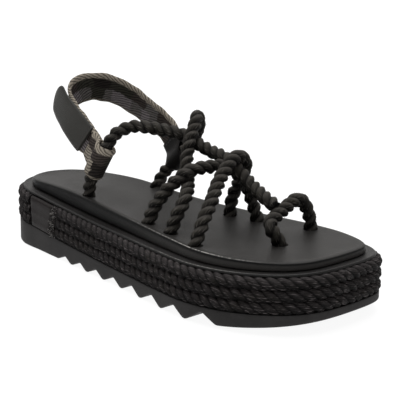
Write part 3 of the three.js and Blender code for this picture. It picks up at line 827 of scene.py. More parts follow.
def loose_fibre_tree():
    """Short fibres that stand out of a surface in curled arcs."""
    name = "Loose fibres"
    if name in bpy.data.node_groups:
        return bpy.data.node_groups[name]
    tree, given, result = new_tree(
        name,
        "GeometryNodeTree",
        [
            ("Surface", "NodeSocketGeometry", None),
            ("Density", "NodeSocketFloat", 100000.0),
            ("Length", "NodeSocketFloat", 0.0015),
            ("Thickness", "NodeSocketFloat", 0.00005),
            ("Lean", "NodeSocketFloat", 1.0),
            ("Seed", "NodeSocketInt", 5),
            ("Material", "NodeSocketMaterial", None),
        ],
        [("Mesh", "NodeSocketGeometry")],
    )
    spots = add_node(
        tree,
        "GeometryNodeDistributePointsOnFaces",
        {"Mesh": given["Surface"], "Density": given["Density"], "Seed": given["Seed"]},
    )
    arc = add_node(
        tree,
        "GeometryNodeCurvePrimitiveBezierSegment",
        {
            "Resolution": 3,
            "Start": (0, 0, 0),
            "Start Handle": (0, 0, 0.4),
            "End Handle": (0.3, 0.1, 0.75),
            "End": (0.75, 0.2, 0.85),
        },
        mode="POSITION",
    )
    ring = add_node(
        tree,
        "GeometryNodeCurvePrimitiveCircle",
        {"Resolution": 3, "Radius": calc(tree, "DIVIDE", given["Thickness"], given["Length"])},
        mode="RADIUS",
    )
    hair = add_node(
        tree,
        "GeometryNodeCurveToMesh",
        {"Curve": arc.outputs[0], "Profile Curve": ring.outputs[0], "Fill Caps": True},
    )
    spin = add_node(
        tree,
        "FunctionNodeRandomValue",
        {"Min": (-0.6, -0.6, 0.0), "Max": (0.6, 0.6, 6.28), "Seed": given["Seed"]},
        data_type="FLOAT_VECTOR",
    )
    turned = add_node(
        tree,
        "FunctionNodeRotateRotation",
        {0: spots.outputs["Rotation"], 1: spin.outputs[0]},
        rotation_space="LOCAL",
    )
    size = add_node(
        tree,
        "FunctionNodeRandomValue",
        {"Min": 0.45, "Max": 1.0, "Seed": calc(tree, "ADD", given["Seed"], 1)},
        data_type="FLOAT",
    )
    size_out = [s for s in size.outputs if s.enabled][0]
    scale = calc(tree, "MULTIPLY", size_out, given["Length"])
    placed = add_node(
        tree,
        "GeometryNodeInstanceOnPoints",
        {
            "Points": spots.outputs[0],
            "Instance": hair.outputs[0],
            "Rotation": turned.outputs[0],
            "Scale": scale,
        },
    )
    real = add_node(tree, "GeometryNodeRealizeInstances", {0: placed.outputs[0]})
    dressed = add_node(
        tree,
        "GeometryNodeSetMaterial",
        {"Geometry": real.outputs[0], "Material": given["Material"]},
    )
    tree.links.new(dressed.outputs[0], result["Mesh"])
    return tree


def stitch_tree():
    """Short rounded stitches laid end to end along a path."""
    name = "Stitches"
    if name in bpy.data.node_groups:
        return bpy.data.node_groups[name]
    tree, given, result = new_tree(
        name,
        "GeometryNodeTree",
        [
            ("Path", "NodeSocketGeometry", None),
            ("Pitch", "NodeSocketFloat", 0.0026),
            ("Stitch share", "NodeSocketFloat", 0.72),
            ("Thread", "NodeSocketFloat", 0.0005),
            ("Material", "NodeSocketMaterial", None),
        ],
        [("Mesh", "NodeSocketGeometry")],
    )
    points = add_node(
        tree,
        "GeometryNodeCurveToPoints",
        {"Curve": given["Path"], "Length": given["Pitch"]},
        mode="LENGTH",
    )
    half = calc(tree, "MULTIPLY", calc(tree, "MULTIPLY", given["Pitch"], given["Stitch share"]), 0.5)
    ball = add_node(
        tree,
        "GeometryNodeMeshUVSphere",
        {"Segments": 8, "Rings": 6, "Radius": 1.0},
    )
    size = add_node(
        tree,
        "ShaderNodeCombineXYZ",
        {0: calc(tree, "MULTIPLY", given["Thread"], 0.5), 1: given["Thread"], 2: half},
    )
    placed = add_node(
        tree,
        "GeometryNodeInstanceOnPoints",
        {
            "Points": points.outputs["Points"],
            "Instance": ball.outputs[0],
            "Rotation": points.outputs["Rotation"],
            "Scale": size.outputs[0],
        },
    )
    real = add_node(tree, "GeometryNodeRealizeInstances", {0: placed.outputs[0]})
    shaded = add_node(tree, "GeometryNodeSetShadeSmooth", {"Geometry": real.outputs[0]})
    dressed = add_node(
        tree,
        "GeometryNodeSetMaterial",
        {"Geometry": shaded.outputs[0], "Material": given["Material"]},
    )
    tree.links.new(dressed.outputs[0], result["Mesh"])
    return tree


def with_tree(obj, tree, values):
    """Gives an object a tree as its modifier, with the named inputs set, and keeps the result."""
    modifier = obj.modifiers.new(tree.name, "NODES")
    modifier.node_group = tree
    sockets = {
        item.name: item.identifier
        for item in tree.interface.items_tree
        if item.item_type == "SOCKET" and item.in_out == "INPUT"
    }
    for name, value in values.items():
        modifier[sockets[name]] = value
    return keep_result(obj)


def ramp(tree, value, low, high, to_low=0.0, to_high=1.0):
    """Carries a value from one range to another, and keeps it there."""
    return add_node(
        tree,
        "ShaderNodeMapRange",
        {"Value": value, "From Min": low, "From Max": high, "To Min": to_low, "To Max": to_high},
    ).outputs[0]


# Shared effects of the finishes


def yarn_group():
    """Twisted yarns of a rope's strands, from the strand attribute of the ropes, with masks for painted
    shade in the valleys between strands and for painted glints along the yarns.
    """
    name = "Yarns"
    if name in bpy.data.node_groups:
        return bpy.data.node_groups[name]
    tree, given, result = new_tree(
        name,
        "ShaderNodeTree",
        [
            ("Strands", "NodeSocketFloat", 3.0),
            ("Yarns", "NodeSocketFloat", 30.0),
            ("Yarn lay", "NodeSocketFloat", 0.02),
            ("Fuzz scale", "NodeSocketFloat", 2600.0),
        ],
        [
            ("Height", "NodeSocketFloat"),
            ("Shade", "NodeSocketFloat"),
            ("Valley", "NodeSocketFloat"),
            ("Fleck", "NodeSocketFloat"),
        ],
    )
    strand = add_node(tree, "ShaderNodeAttribute", attribute_name="strand").outputs["Vector"]
    part = axes_of(tree, strand)
    where = object_place(tree)
    drift = noise(tree, where, 420.0)
    angle = calc(tree, "ARCTAN2", part[1], part[0])
    share = calc(tree, "DIVIDE", calc(tree, "MULTIPLY", angle, given["Strands"]), 2 * math.pi)
    centred = calc(tree, "SUBTRACT", calc(tree, "FRACT", share), 0.5)
    # Nearness to where two strands meet, the mask of the painted shade in the valleys
    valley_shade = calc(tree, "POWER", calc(tree, "MULTIPLY", calc(tree, "ABSOLUTE", centred), 2.0), 3.5)
    tree.links.new(valley_shade, result["Valley"])
    turns = calc(tree, "MULTIPLY", calc(tree, "DIVIDE", part[2], given["Yarn lay"]), 2 * math.pi)
    phase = calc(tree, "MULTIPLY", calc(tree, "ADD", angle, turns), given["Yarns"])
    streak = add_node(
        tree,
        "ShaderNodeCombineXYZ",
        {
            0: calc(tree, "MULTIPLY", phase, 0.2),
            1: calc(tree, "MULTIPLY", part[2], 240.0),
            2: calc(tree, "FLOOR", share),
        },
    ).outputs[0]
    # Streaks along the yarns, the mask of the painted glints
    glint_noise = noise(tree, streak, 1.0, detail=1.0)
    tree.links.new(ramp(tree, glint_noise, 0.56, 0.7), result["Fleck"])
    phase = calc(tree, "ADD", phase, calc(tree, "MULTIPLY", drift, 3.0))
    phase = calc(tree, "ADD", phase, calc(tree, "MULTIPLY", calc(tree, "FLOOR", share), 1.9))
    ridge = calc(tree, "ABSOLUTE", calc(tree, "COSINE", calc(tree, "MULTIPLY", phase, 0.5)))
    ridge = calc(tree, "POWER", ridge, 0.6)
    fuzz = noise(tree, where, given["Fuzz scale"], detail=3.0, roughness=0.7)
    height = calc(tree, "ADD", ridge, calc(tree, "MULTIPLY", fuzz, 0.55))
    tree.links.new(height, result["Height"])
    shade = calc(tree, "ADD", calc(tree, "MULTIPLY", ridge, 0.4), calc(tree, "MULTIPLY", fuzz, 0.85))
    tree.links.new(shade, result["Shade"])
    return tree


def grain_group():
    """Fine leather grain: cells with soft creases, a slow change of tone, and rubbed spots."""
    name = "Grain"
    if name in bpy.data.node_groups:
        return bpy.data.node_groups[name]
    tree, given, result = new_tree(
        name,
        "ShaderNodeTree",
        [("Cell scale", "NodeSocketFloat", 1500.0), ("Tone scale", "NodeSocketFloat", 30.0)],
        [("Height", "NodeSocketFloat"), ("Tone", "NodeSocketFloat"), ("Rub", "NodeSocketFloat")],
    )
    where = object_place(tree)
    warp = add_node(tree, "ShaderNodeTexNoise", {"Vector": where, "Scale": 700.0, "Detail": 2.0})
    shift = vector_calc(tree, "SCALE", warp.outputs["Color"], scale=0.0007)
    bent = vector_calc(tree, "ADD", where, shift)
    cells = add_node(
        tree,
        "ShaderNodeTexVoronoi",
        {"Vector": bent, "Scale": given["Cell scale"]},
        feature="DISTANCE_TO_EDGE",
    ).outputs["Distance"]
    crease = add_node(
        tree,
        "ShaderNodeMapRange",
        {"Value": cells, "From Min": 0.0, "From Max": 0.22, "To Min": 0.0, "To Max": 1.0},
        interpolation_type="SMOOTHSTEP",
    ).outputs[0]
    fine = noise(tree, where, 3200.0)
    height = calc(tree, "ADD", calc(tree, "MULTIPLY", crease, 0.7), calc(tree, "MULTIPLY", fine, 0.5))
    tree.links.new(height, result["Height"])
    tone = noise(tree, where, given["Tone scale"], detail=4.0, roughness=0.6)
    tree.links.new(tone, result["Tone"])
    rub = noise(tree, where, 210.0, detail=5.0, roughness=0.75)
    tree.links.new(ramp(tree, rub, 0.56, 0.74), result["Rub"])
    return tree


def weave_group():
    """Woven tape on the band's own map: slanting threads, with a coarser braid near its upper edge."""
    name = "Weave"
    if name in bpy.data.node_groups:
        return bpy.data.node_groups[name]
    tree, given, result = new_tree(
        name,
        "ShaderNodeTree",
        [
            ("Threads", "NodeSocketFloat", 11.0),
            ("Slant", "NodeSocketFloat", 4.0),
            ("Braid", "NodeSocketFloat", 5.5),
            ("Braid start", "NodeSocketFloat", 0.8),
            ("Braid full", "NodeSocketFloat", 0.84),
        ],
        [("Height", "NodeSocketFloat"), ("Thread", "NodeSocketFloat")],
    )
    place = add_node(tree, "ShaderNodeUVMap", uv_map=CLOTH_MAP).outputs[0]
    where = object_place(tree)
    drift = noise(tree, where, 180.0, detail=3.0)
    part = axes_of(tree, place)
    across = calc(tree, "MULTIPLY", part[0], given["Threads"])
    along = calc(tree, "MULTIPLY", part[1], given["Slant"])
    wander = calc(tree, "MULTIPLY", drift, 1.5)
    twill = calc(tree, "ADD", calc(tree, "ADD", across, along), wander)
    line = calc(tree, "ABSOLUTE", calc(tree, "SINE", calc(tree, "MULTIPLY", twill, math.pi)))
    picks = calc(tree, "MULTIPLY", part[1], 31.0)
    pick = calc(tree, "ABSOLUTE", calc(tree, "SINE", calc(tree, "MULTIPLY", picks, math.pi)))
    cloth = calc(tree, "ADD", calc(tree, "MULTIPLY", line, 0.75), calc(tree, "MULTIPLY", pick, 0.25))
    turns = calc(tree, "MULTIPLY", part[1], given["Braid"])
    lean = calc(tree, "MULTIPLY", part[0], 10.0)
    twist = calc(tree, "ADD", calc(tree, "SUBTRACT", turns, lean), wander)
    cord = calc(tree, "ABSOLUTE", calc(tree, "SINE", calc(tree, "MULTIPLY", twist, math.pi)))
    fine = calc(tree, "MULTIPLY", calc(tree, "SUBTRACT", turns, lean), 4.0)
    hair = calc(tree, "ABSOLUTE", calc(tree, "SINE", calc(tree, "MULTIPLY", fine, math.pi)))
    cord = calc(tree, "ADD", calc(tree, "MULTIPLY", cord, 0.8), calc(tree, "MULTIPLY", hair, 0.2))
    edge = ramp(tree, part[0], given["Braid start"], given["Braid full"])
    fuzz = noise(tree, where, 2200.0, detail=3.0)
    height = add_node(tree, "ShaderNodeMix", {0: edge, 2: cloth, 3: cord}).outputs[0]
    tree.links.new(calc(tree, "ADD", height, calc(tree, "MULTIPLY", fuzz, 0.4)), result["Height"])
    thread = calc(tree, "ADD", calc(tree, "MULTIPLY", height, 0.7), calc(tree, "MULTIPLY", fuzz, 0.45))
    tree.links.new(thread, result["Thread"])
    return tree


# Finishes


BLACK = (0, 0, 0, 1)
# Colour of the painted highlight on the leather's rounded edge
EDGE_HIGHLIGHT = (0.5, 0.48, 0.45, 1)


def colour_of(value):
    return (value[0], value[1], value[2], 1.0)


def shade_of(value, factor):
    """A darker or lighter shade of a colour."""
    return (value[0] * factor, value[1] * factor, value[2] * factor, 1.0)


def new_finish(name):
    material = bpy.data.materials.new(name)
    material.use_nodes = True
    tree = material.node_tree
    shader = tree.nodes["Principled BSDF"]
    return material, tree, shader


def use_group(tree, group, **values):
    """Places a shared effect; an underscore in a name stands for a space."""
    node = tree.nodes.new("ShaderNodeGroup")
    node.node_tree = group
    for key, value in values.items():
        node.inputs[key.replace("_", " ")].default_value = value
    return node.outputs


def blend_colours(tree, factor, a, b):
    node = tree.nodes.new("ShaderNodeMix")
    node.data_type = "RGBA"
    for socket, value in ((node.inputs[0], factor), (node.inputs[6], a), (node.inputs[7], b)):
        if isinstance(value, bpy.types.NodeSocket):
            tree.links.new(value, socket)
        else:
            socket.default_value = value
    return node.outputs[2]


def relief(tree, shader, height, strength, distance):
    """Fine relief of the surface from a height."""
    bump = add_node(
        tree,
        "ShaderNodeBump",
        {"Height": height, "Strength": strength, "Distance": distance},
    )
    tree.links.new(bump.outputs[0], shader.inputs["Normal"])


def surface_level(tree):
    """How far a surface faces up: 1 on its top, 0 on a wall and -1 underneath."""
    facing = add_node(tree, "ShaderNodeNewGeometry").outputs["Normal"]
    return axes_of(tree, facing)[2]


def rope_finish(name, colour, yarns, yarn_lay, depth, glint_brightness, strands):
    """Dull twisted yarns: painted shade in valleys and below, painted light on top, painted glints."""
    material, tree, shader = new_finish(name)
    yarn = use_group(tree, yarn_group(), Yarns=yarns, Yarn_lay=yarn_lay, Strands=strands)
    tint = blend_colours(
        tree, ramp(tree, yarn["Shade"], 0.35, 1.0), shade_of(colour, 0.3), shade_of(colour, 2.2)
    )
    patch = noise(tree, object_place(tree), 90.0, detail=3.0)
    warm = (colour[0] * 1.4, colour[1] * 1.38, colour[2], 1.0)
    tint = blend_colours(tree, ramp(tree, patch, 0.45, 0.75, 0.0, 0.5), tint, warm)
    # Painted shade on the undersides and painted light on the tops, by how far the surface faces up
    level = surface_level(tree)
    tint = blend_colours(tree, ramp(tree, level, 0.3, -0.4, 0.0, 0.8), tint, BLACK)
    tint = blend_colours(tree, ramp(tree, level, 0.25, 0.9, 0.0, 0.7), tint, shade_of(colour, 3.6))
    # Painted glints: bright streaks along the yarns
    painted_glint = calc(tree, "MULTIPLY", yarn["Fleck"], ramp(tree, yarn["Shade"], 0.3, 0.8))
    tint = blend_colours(tree, painted_glint, tint, shade_of(colour, glint_brightness))
    # Painted shade in the valleys between the strands
    tint = blend_colours(tree, calc(tree, "MULTIPLY", yarn["Valley"], 0.85), tint, BLACK)
    tree.links.new(tint, shader.inputs["Base Color"])
    tree.links.new(ramp(tree, yarn["Shade"], 0.3, 1.0, 0.75, 0.5), shader.inputs["Roughness"])
    shader.inputs["Specular IOR Level"].default_value = 0.08
    relief(tree, shader, yarn["Height"], 0.8, depth)
    return material


def leather_finish(
    name, colour, cell_scale, depth, roughness, rub=0.25, wall_shade=1.0, gleam=0.3, line=0.0, foot=1.0
):
    """Grained leather; rub is the strength of its paler spots.

    A wall_shade under 1 paints shade on the upright faces. Then foot is the tone of their lowest
    strip, painted light above 1 and painted shade under 1, and line the strength of a painted
    highlight on the rounding above them, both at the front of the shoe.
    """
    material, tree, shader = new_finish(name)
    grain = use_group(tree, grain_group(), Cell_scale=cell_scale)
    tint = blend_colours(
        tree, ramp(tree, grain["Tone"], 0.3, 0.7), shade_of(colour, 0.85), shade_of(colour, 1.18)
    )
    mask = calc(tree, "MULTIPLY", grain["Rub"], rub)
    tint = blend_colours(tree, mask, tint, shade_of(colour, 1.7))
    if wall_shade < 1:
        level = surface_level(tree)
        # Painted shade on the upright faces
        tint = blend_colours(tree, ramp(tree, level, 0.95, 0.75), tint, shade_of(colour, wall_shade))
        where = object_place(tree)
        along = axes_of(tree, where)[0]
        front = ramp(tree, along, *PAINTED_FRONT_FADE_IN)
        tip = ramp(tree, along, *PAINTED_FRONT_FADE_OUT)
        # Painted tone on the wall's lowest strip at the front: painted light where foot is over 1,
        # painted shade where it is under 1
        base = calc(tree, "MULTIPLY", ramp(tree, level, 0.35, 0.05), front)
        tint = blend_colours(tree, base, tint, shade_of(colour, foot))
        # Painted highlight along the rounding above the wall at the front, broken into specks; worn here
        # is its mask
        bend = calc(tree, "MULTIPLY", ramp(tree, level, 0.975, 0.94), ramp(tree, level, 0.85, 0.9))
        highlight_speck = noise(tree, where, 700.0)
        worn = calc(tree, "MULTIPLY", ramp(tree, highlight_speck, 0.4, 0.6, 0.1, line), front)
        worn = calc(tree, "MULTIPLY", worn, tip)
        tint = blend_colours(tree, calc(tree, "MULTIPLY", bend, worn), tint, EDGE_HIGHLIGHT)
    tree.links.new(tint, shader.inputs["Base Color"])
    rough = calc(tree, "ADD", ramp(tree, grain["Tone"], 0.3, 0.7, -0.05, 0.06), roughness)
    tree.links.new(rough, shader.inputs["Roughness"])
    shader.inputs["Specular IOR Level"].default_value = gleam
    relief(tree, shader, grain["Height"], 0.6, depth)
    return material


def rubber_finish(name, colour):
    """Dull mottled rubber, scuffed most where it meets the floor."""
    material, tree, shader = new_finish(name)
    where = object_place(tree)
    cloud = noise(tree, where, 46.0, detail=5.0, roughness=0.62)
    tint = blend_colours(
        tree, ramp(tree, cloud, 0.3, 0.7), shade_of(colour, 0.68), shade_of(colour, 1.4)
    )
    scuffs = noise(tree, where, 320.0, detail=6.0, roughness=0.8)
    low = ramp(tree, axes_of(tree, where)[2], 0.0035, 0.0)
    worn = calc(tree, "MULTIPLY", ramp(tree, scuffs, 0.5, 0.68), calc(tree, "ADD", low, 0.18))
    tint = blend_colours(tree, calc(tree, "MULTIPLY", worn, 0.75), tint, shade_of(colour, 2.3))
    tree.links.new(tint, shader.inputs["Base Color"])
    rough = ramp(tree, cloud, 0.3, 0.7, 0.58, 0.72)
    tree.links.new(rough, shader.inputs["Roughness"])
    shader.inputs["Specular IOR Level"].default_value = 0.13
    fine = noise(tree, where, 2400.0, detail=3.0)
    height = calc(tree, "ADD", fine, calc(tree, "MULTIPLY", scuffs, 0.8))
    relief(tree, shader, height, 0.35, 0.00012)
    return material


def foam_finish(name, colour):
    """Dull foam with fine open cells."""
    material, tree, shader = new_finish(name)
    cells = add_node(
        tree, "ShaderNodeTexVoronoi", {"Vector": object_place(tree), "Scale": 1300.0}, feature="F1"
    ).outputs["Distance"]
    tint = blend_colours(tree, cells, shade_of(colour, 0.8), shade_of(colour, 1.3))
    tree.links.new(tint, shader.inputs["Base Color"])
    shader.inputs["Roughness"].default_value = 0.9
    relief(tree, shader, cells, 0.4, 0.0002)
    return material


# Blocks of the webbing's two stripes: start along the tape, in its widths, and colour
DARK_BLOCKS = (
    (0.0, "brown"), (1.3, "grey"), (1.9, "brown"), (2.6, "olive"), (3.5, "ink"),
    (4.0, "olive"), (4.7, "brown"), (5.8, "olive"), (7.0, "brown"), (8.6, "olive"),
    (9.2, "brown"),
)
PALE_BLOCKS = (
    (0.0, "brown"), (1.1, "grey"), (1.6, "lilac"), (1.95, "grey"), (2.5, "lilac"),
    (3.3, "grey"), (3.65, "olive"), (4.15, "grey"), (4.6, "lilac"), (5.4, "grey"),
    (6.6, "lilac"), (7.8, "olive"), (8.5, "grey"), (8.95, "ink"), (9.55, "sand"),
)
BLOCKS_LENGTH = 11.0


def block_ramp(tree, along, blocks, colours):
    """Steps of colour along the tape, charted by a table."""
    place = calc(tree, "DIVIDE", along, BLOCKS_LENGTH)
    node = add_node(tree, "ShaderNodeValToRGB", {0: place})
    node.color_ramp.interpolation = "CONSTANT"
    stops = node.color_ramp.elements
    while len(stops) > 1:
        stops.remove(stops[-1])
    stops[0].position = 0.0
    stops[0].color = colours[blocks[0][1]]
    for start, name in blocks[1:]:
        stop = stops.new(start / BLOCKS_LENGTH)
        stop.color = colours[name]
    return node.outputs[0]


def webbing_finish(name, colours):
    """Striped tape: a corded pale edge, a dark stripe, a paler stripe in blocks, a pale edge."""
    material, tree, shader = new_finish(name)
    weave = use_group(tree, weave_group())
    place = add_node(tree, "ShaderNodeUVMap", uv_map=CLOTH_MAP).outputs[0]
    part = axes_of(tree, place)
    sway = calc(tree, "SUBTRACT", noise(tree, place, 3.2, detail=5.0, roughness=0.7), 0.5)
    across = calc(tree, "ADD", part[0], calc(tree, "MULTIPLY", sway, 0.2))
    along = calc(tree, "ADD", part[1], calc(tree, "MULTIPLY", sway, 0.5))
    pale = block_ramp(tree, along, PALE_BLOCKS, colours)
    dark = block_ramp(tree, along, DARK_BLOCKS, colours)
    tint = blend_colours(tree, ramp(tree, across, 0.46, 0.5), pale, dark)
    tint = blend_colours(tree, ramp(tree, across, 0.79, 0.83), tint, colours["cord"])
    tint = blend_colours(tree, ramp(tree, part[0], 0.1, 0.06), tint, colours["hem"])
    thread = ramp(tree, weave["Thread"], 0.3, 0.9)
    grey = blend_colours(tree, thread, (0.1, 0.1, 0.1, 1), (1.75, 1.75, 1.75, 1))
    shaded = add_node(tree, "ShaderNodeMix", data_type="RGBA", blend_type="MULTIPLY")
    shaded.inputs[0].default_value = 1.0
    tree.links.new(tint, shaded.inputs[6])
    tree.links.new(grey, shaded.inputs[7])
    tree.links.new(shaded.outputs[2], shader.inputs["Base Color"])
    shader.inputs["Roughness"].default_value = 0.85
    shader.inputs["Specular IOR Level"].default_value = 0.15
    relief(tree, shader, weave["Height"], 0.9, 0.00045)
    return material


def plain_finish(name, colour, roughness, grain=900.0):
    """One colour with a fine change of tone, for threads and fibres."""
    material, tree, shader = new_finish(name)
    fine = noise(tree, object_place(tree), grain, detail=3.0)
    tint = blend_colours(
        tree, ramp(tree, fine, 0.3, 0.7), shade_of(colour, 0.85), shade_of(colour, 1.15)
    )
    tree.links.new(tint, shader.inputs["Base Color"])
    shader.inputs["Roughness"].default_value = roughness
    return material


FINISHES = {}


def finish(name):
    """One of the sandal's finishes, made when it is first asked for."""
    if name in FINISHES:
        return FINISHES[name]
    c = bpy.context.scene.sandal_colours
    makers = {
        "upper_rope": lambda: rope_finish(
            "Upper rope", c.rope, yarns=30.0, yarn_lay=0.0135, depth=0.00035, glint_brightness=5.0, strands=2
        ),
        "wrap_rope": lambda: rope_finish(
            "Wrap rope", c.wrap, yarns=24.0, yarn_lay=0.0195, depth=0.00035, glint_brightness=8.0, strands=3
        ),
        "fibre": lambda: plain_finish("Loose fibre", c.fibre, 0.8),
        "dark_fibre": lambda: plain_finish("Dark fibre", c.wrap, 0.8),
        "pale_fibre": lambda: plain_finish("Pale fibre", c.pale_fibre, 0.8),
        # The footbed and the rim get painted shade on their walls, a painted tone at the walls' foot and
        # a painted highlight on the rounding above
        "bed": lambda: leather_finish(
            "Footbed leather", c.bed, cell_scale=1700.0, depth=0.0001, roughness=0.42,
            rub=0.12, wall_shade=0.08, gleam=0.14, line=1.0, foot=1.5,
        ),
        "rim": lambda: leather_finish(
            "Rim leather", c.rim, cell_scale=2200.0, depth=0.00006, roughness=0.42,
            rub=0.1, wall_shade=0.6, gleam=0.25, line=0.8, foot=0.6,
        ),
        "cover": lambda: leather_finish(
            "Cover leather", c.cover, cell_scale=2000.0, depth=0.00006, roughness=0.5, rub=0.1, gleam=0.1
        ),
        "tab": lambda: leather_finish(
            "Tab leather", c.tab, cell_scale=1500.0, depth=0.0001, roughness=0.5, rub=0.45, gleam=0.2
        ),
        "keeper": lambda: leather_finish(
            "Keeper leather", c.keeper, cell_scale=1800.0, depth=0.00008, roughness=0.5, gleam=0.06
        ),
        "rubber": lambda: rubber_finish("Outsole rubber", c.rubber),
        "foam": lambda: foam_finish("Core foam", c.foam),
        "thread": lambda: plain_finish("Sewing thread", c.thread, 0.6, grain=2000.0),
        "webbing": lambda: webbing_finish(
            "Striped webbing",
            {
                "cord": colour_of(c.webbing_edge),
                "hem": shade_of(c.webbing_edge, 0.55),
                "olive": colour_of(c.webbing_olive),
                "brown": colour_of(c.webbing_brown),
                "ink": shade_of(c.webbing_brown, 0.4),
                "grey": colour_of(c.webbing_grey),
                "lilac": colour_of(c.webbing_lilac),
                "sand": shade_of(c.webbing_edge, 0.75),
            },
        ),
    }
    FINISHES[name] = makers[name]()
    return FINISHES[name]


# Sizes and colours that a user may change


class SandalSoleSizes(bpy.types.PropertyGroup):
    """Sizes of the sole's finer forms."""

    tooth_round: FloatProperty(
        name="Tooth rounding",
        description="How far the outsole's teeth are worn round",
        default=0.0007,
        min=0.0,
        max=0.003,
        unit="LENGTH",
    )
    edge_round: FloatProperty(
        name="Outsole edge",
        description="Rounding of the outsole's lower edge",
        default=0.0012,
        min=0.0002,
        max=0.003,
        unit="LENGTH",
    )
    lip: FloatProperty(
        name="Rim lip",
        description="Thickness of the rim's rounded lip",
        default=0.0009,
        min=0.0003,
        max=0.002,
        unit="LENGTH",
    )


class SandalRopeSizes(bpy.types.PropertyGroup):
    """Sizes of the ropes."""

    upper_diameter: FloatProperty(
        name="Upper rope",
        description="Diameter of the ropes over the foot",
        default=ROPE_DIAMETER * MM,
        min=0.004,
        max=0.012,
        unit="LENGTH",
    )
    upper_lay: FloatProperty(
        name="Upper lay",
        description="Length in which a strand of the upper's ropes turns once",
        default=0.0115,
        min=0.008,
        max=0.04,
        unit="LENGTH",
    )
    wrap_lay: FloatProperty(
        name="Wrap lay",
        description="Length in which a strand of the wrapped ropes turns once",
        default=0.0168,
        min=0.008,
        max=0.04,
        unit="LENGTH",
    )
    upper_strands: IntProperty(
        name="Upper strands", description="Strands seen in each upper rope", default=2, min=2, max=5
    )
    wrap_strands: IntProperty(
        name="Wrap strands", description="Strands in each wrapped rope", default=3, min=2, max=5
    )
    upper_offset: FloatProperty(
        name="Upper strand offset",
        description="How far the upper's strands stand apart, as a share of the rope's radius",
        default=0.28,
        min=0.1,
        max=0.49,
        subtype="FACTOR",
    )
    wrap_offset: FloatProperty(
        name="Wrap strand offset",
        description="How far the wrapped strands stand apart, as a share of the rope's radius",
        default=0.3,
        min=0.1,
        max=0.55,
        subtype="FACTOR",
    )
    fibre_length: FloatProperty(
        name="Fibre length",
        description="Length of the loose fibres on the ropes",
        default=0.0012,
        min=0.0003,
        max=0.004,
        unit="LENGTH",
    )


class SandalColours(bpy.types.PropertyGroup):
    """Colours of the sandal's materials."""

    rope: FloatVectorProperty(
        name="Upper rope", description="Colour of the upper's ropes",
        subtype="COLOR", size=3, min=0, max=1, default=(0.0245, 0.0225, 0.020),
    )
    wrap: FloatVectorProperty(
        name="Wrapped rope", description="Colour of the ropes round the platform",
        subtype="COLOR", size=3, min=0, max=1, default=(0.0145, 0.0128, 0.0128),
    )
    fibre: FloatVectorProperty(
        name="Loose fibre", description="Colour of loose fibres",
        subtype="COLOR", size=3, min=0, max=1, default=(0.035, 0.031, 0.028),
    )
    pale_fibre: FloatVectorProperty(
        name="Pale fibre", description="Colour of the rope's cut ends",
        subtype="COLOR", size=3, min=0, max=1, default=(0.42, 0.4, 0.38),
    )
    bed: FloatVectorProperty(
        name="Footbed", description="Colour of the footbed's leather",
        subtype="COLOR", size=3, min=0, max=1, default=(0.026, 0.0245, 0.023),
    )
    rim: FloatVectorProperty(
        name="Rim", description="Colour of the rim",
        subtype="COLOR", size=3, min=0, max=1, default=(0.015, 0.0138, 0.0132),
    )
    cover: FloatVectorProperty(
        name="Cover", description="Colour of the band over the ropes' ends",
        subtype="COLOR", size=3, min=0, max=1, default=(0.0145, 0.0115, 0.011),
    )
    tab: FloatVectorProperty(
        name="Closing tab", description="Colour of the closing tab",
        subtype="COLOR", size=3, min=0, max=1, default=(0.036, 0.035, 0.0315),
    )
    keeper: FloatVectorProperty(
        name="Keeper", description="Colour of the strap's keeper",
        subtype="COLOR", size=3, min=0, max=1, default=(0.012, 0.011, 0.0105),
    )
    rubber: FloatVectorProperty(
        name="Outsole", description="Colour of the outsole's rubber",
        subtype="COLOR", size=3, min=0, max=1, default=(0.028, 0.0265, 0.0262),
    )
    foam: FloatVectorProperty(
        name="Core", description="Colour of the platform's core",
        subtype="COLOR", size=3, min=0, max=1, default=(0.012, 0.011, 0.011),
    )
    thread: FloatVectorProperty(
        name="Thread", description="Colour of the sewing thread",
        subtype="COLOR", size=3, min=0, max=1, default=(0.03, 0.026, 0.028),
    )
    webbing_edge: FloatVectorProperty(
        name="Webbing edge", description="Colour of the webbing's corded edge",
        subtype="COLOR", size=3, min=0, max=1, default=(0.25, 0.22, 0.18),
    )
    webbing_olive: FloatVectorProperty(
        name="Webbing olive", description="First colour of the webbing's dark stripe",
        subtype="COLOR", size=3, min=0, max=1, default=(0.027, 0.0255, 0.02),
    )
    webbing_brown: FloatVectorProperty(
        name="Webbing brown", description="Second colour of the webbing's dark stripe",
        subtype="COLOR", size=3, min=0, max=1, default=(0.036, 0.029, 0.0255),
    )
    webbing_grey: FloatVectorProperty(
        name="Webbing grey", description="First colour of the webbing's paler band",
        subtype="COLOR", size=3, min=0, max=1, default=(0.095, 0.088, 0.083),
    )
    webbing_lilac: FloatVectorProperty(
        name="Webbing lilac", description="Second colour of the webbing's paler band",
        subtype="COLOR", size=3, min=0, max=1, default=(0.15, 0.134, 0.138),
    )
    floor: FloatVectorProperty(
        name="Floor", description="Colour of the floor",
        subtype="COLOR", size=3, min=0, max=1, default=(0.16, 0.16, 0.16),
    )


class SandalStageSizes(bpy.types.PropertyGroup):
    """Floor, lights and camera."""

    floor_size: FloatProperty(
        name="Floor", description="Side of the floor", default=12.0, min=1.0, unit="LENGTH"
    )
    lens: FloatProperty(
        name="Lens", description="Focal length in millimetres", default=107.98, min=20.0
    )
    surround: FloatProperty(
        name="Surround", description="Brightness of the studio's walls", default=0.3, min=0.0
    )
    overhead: FloatProperty(
        name="Overhead light", description="Strength of the light above", default=2.4, min=0.0
    )
    floor_glow: FloatProperty(
        name="Floor glow", description="Light that comes through the floor", default=0.92, min=0.0
    )
    back_power: FloatProperty(
        name="Back panel", description="Power of the panel behind", default=15.0, unit="POWER"
    )


# Pieces


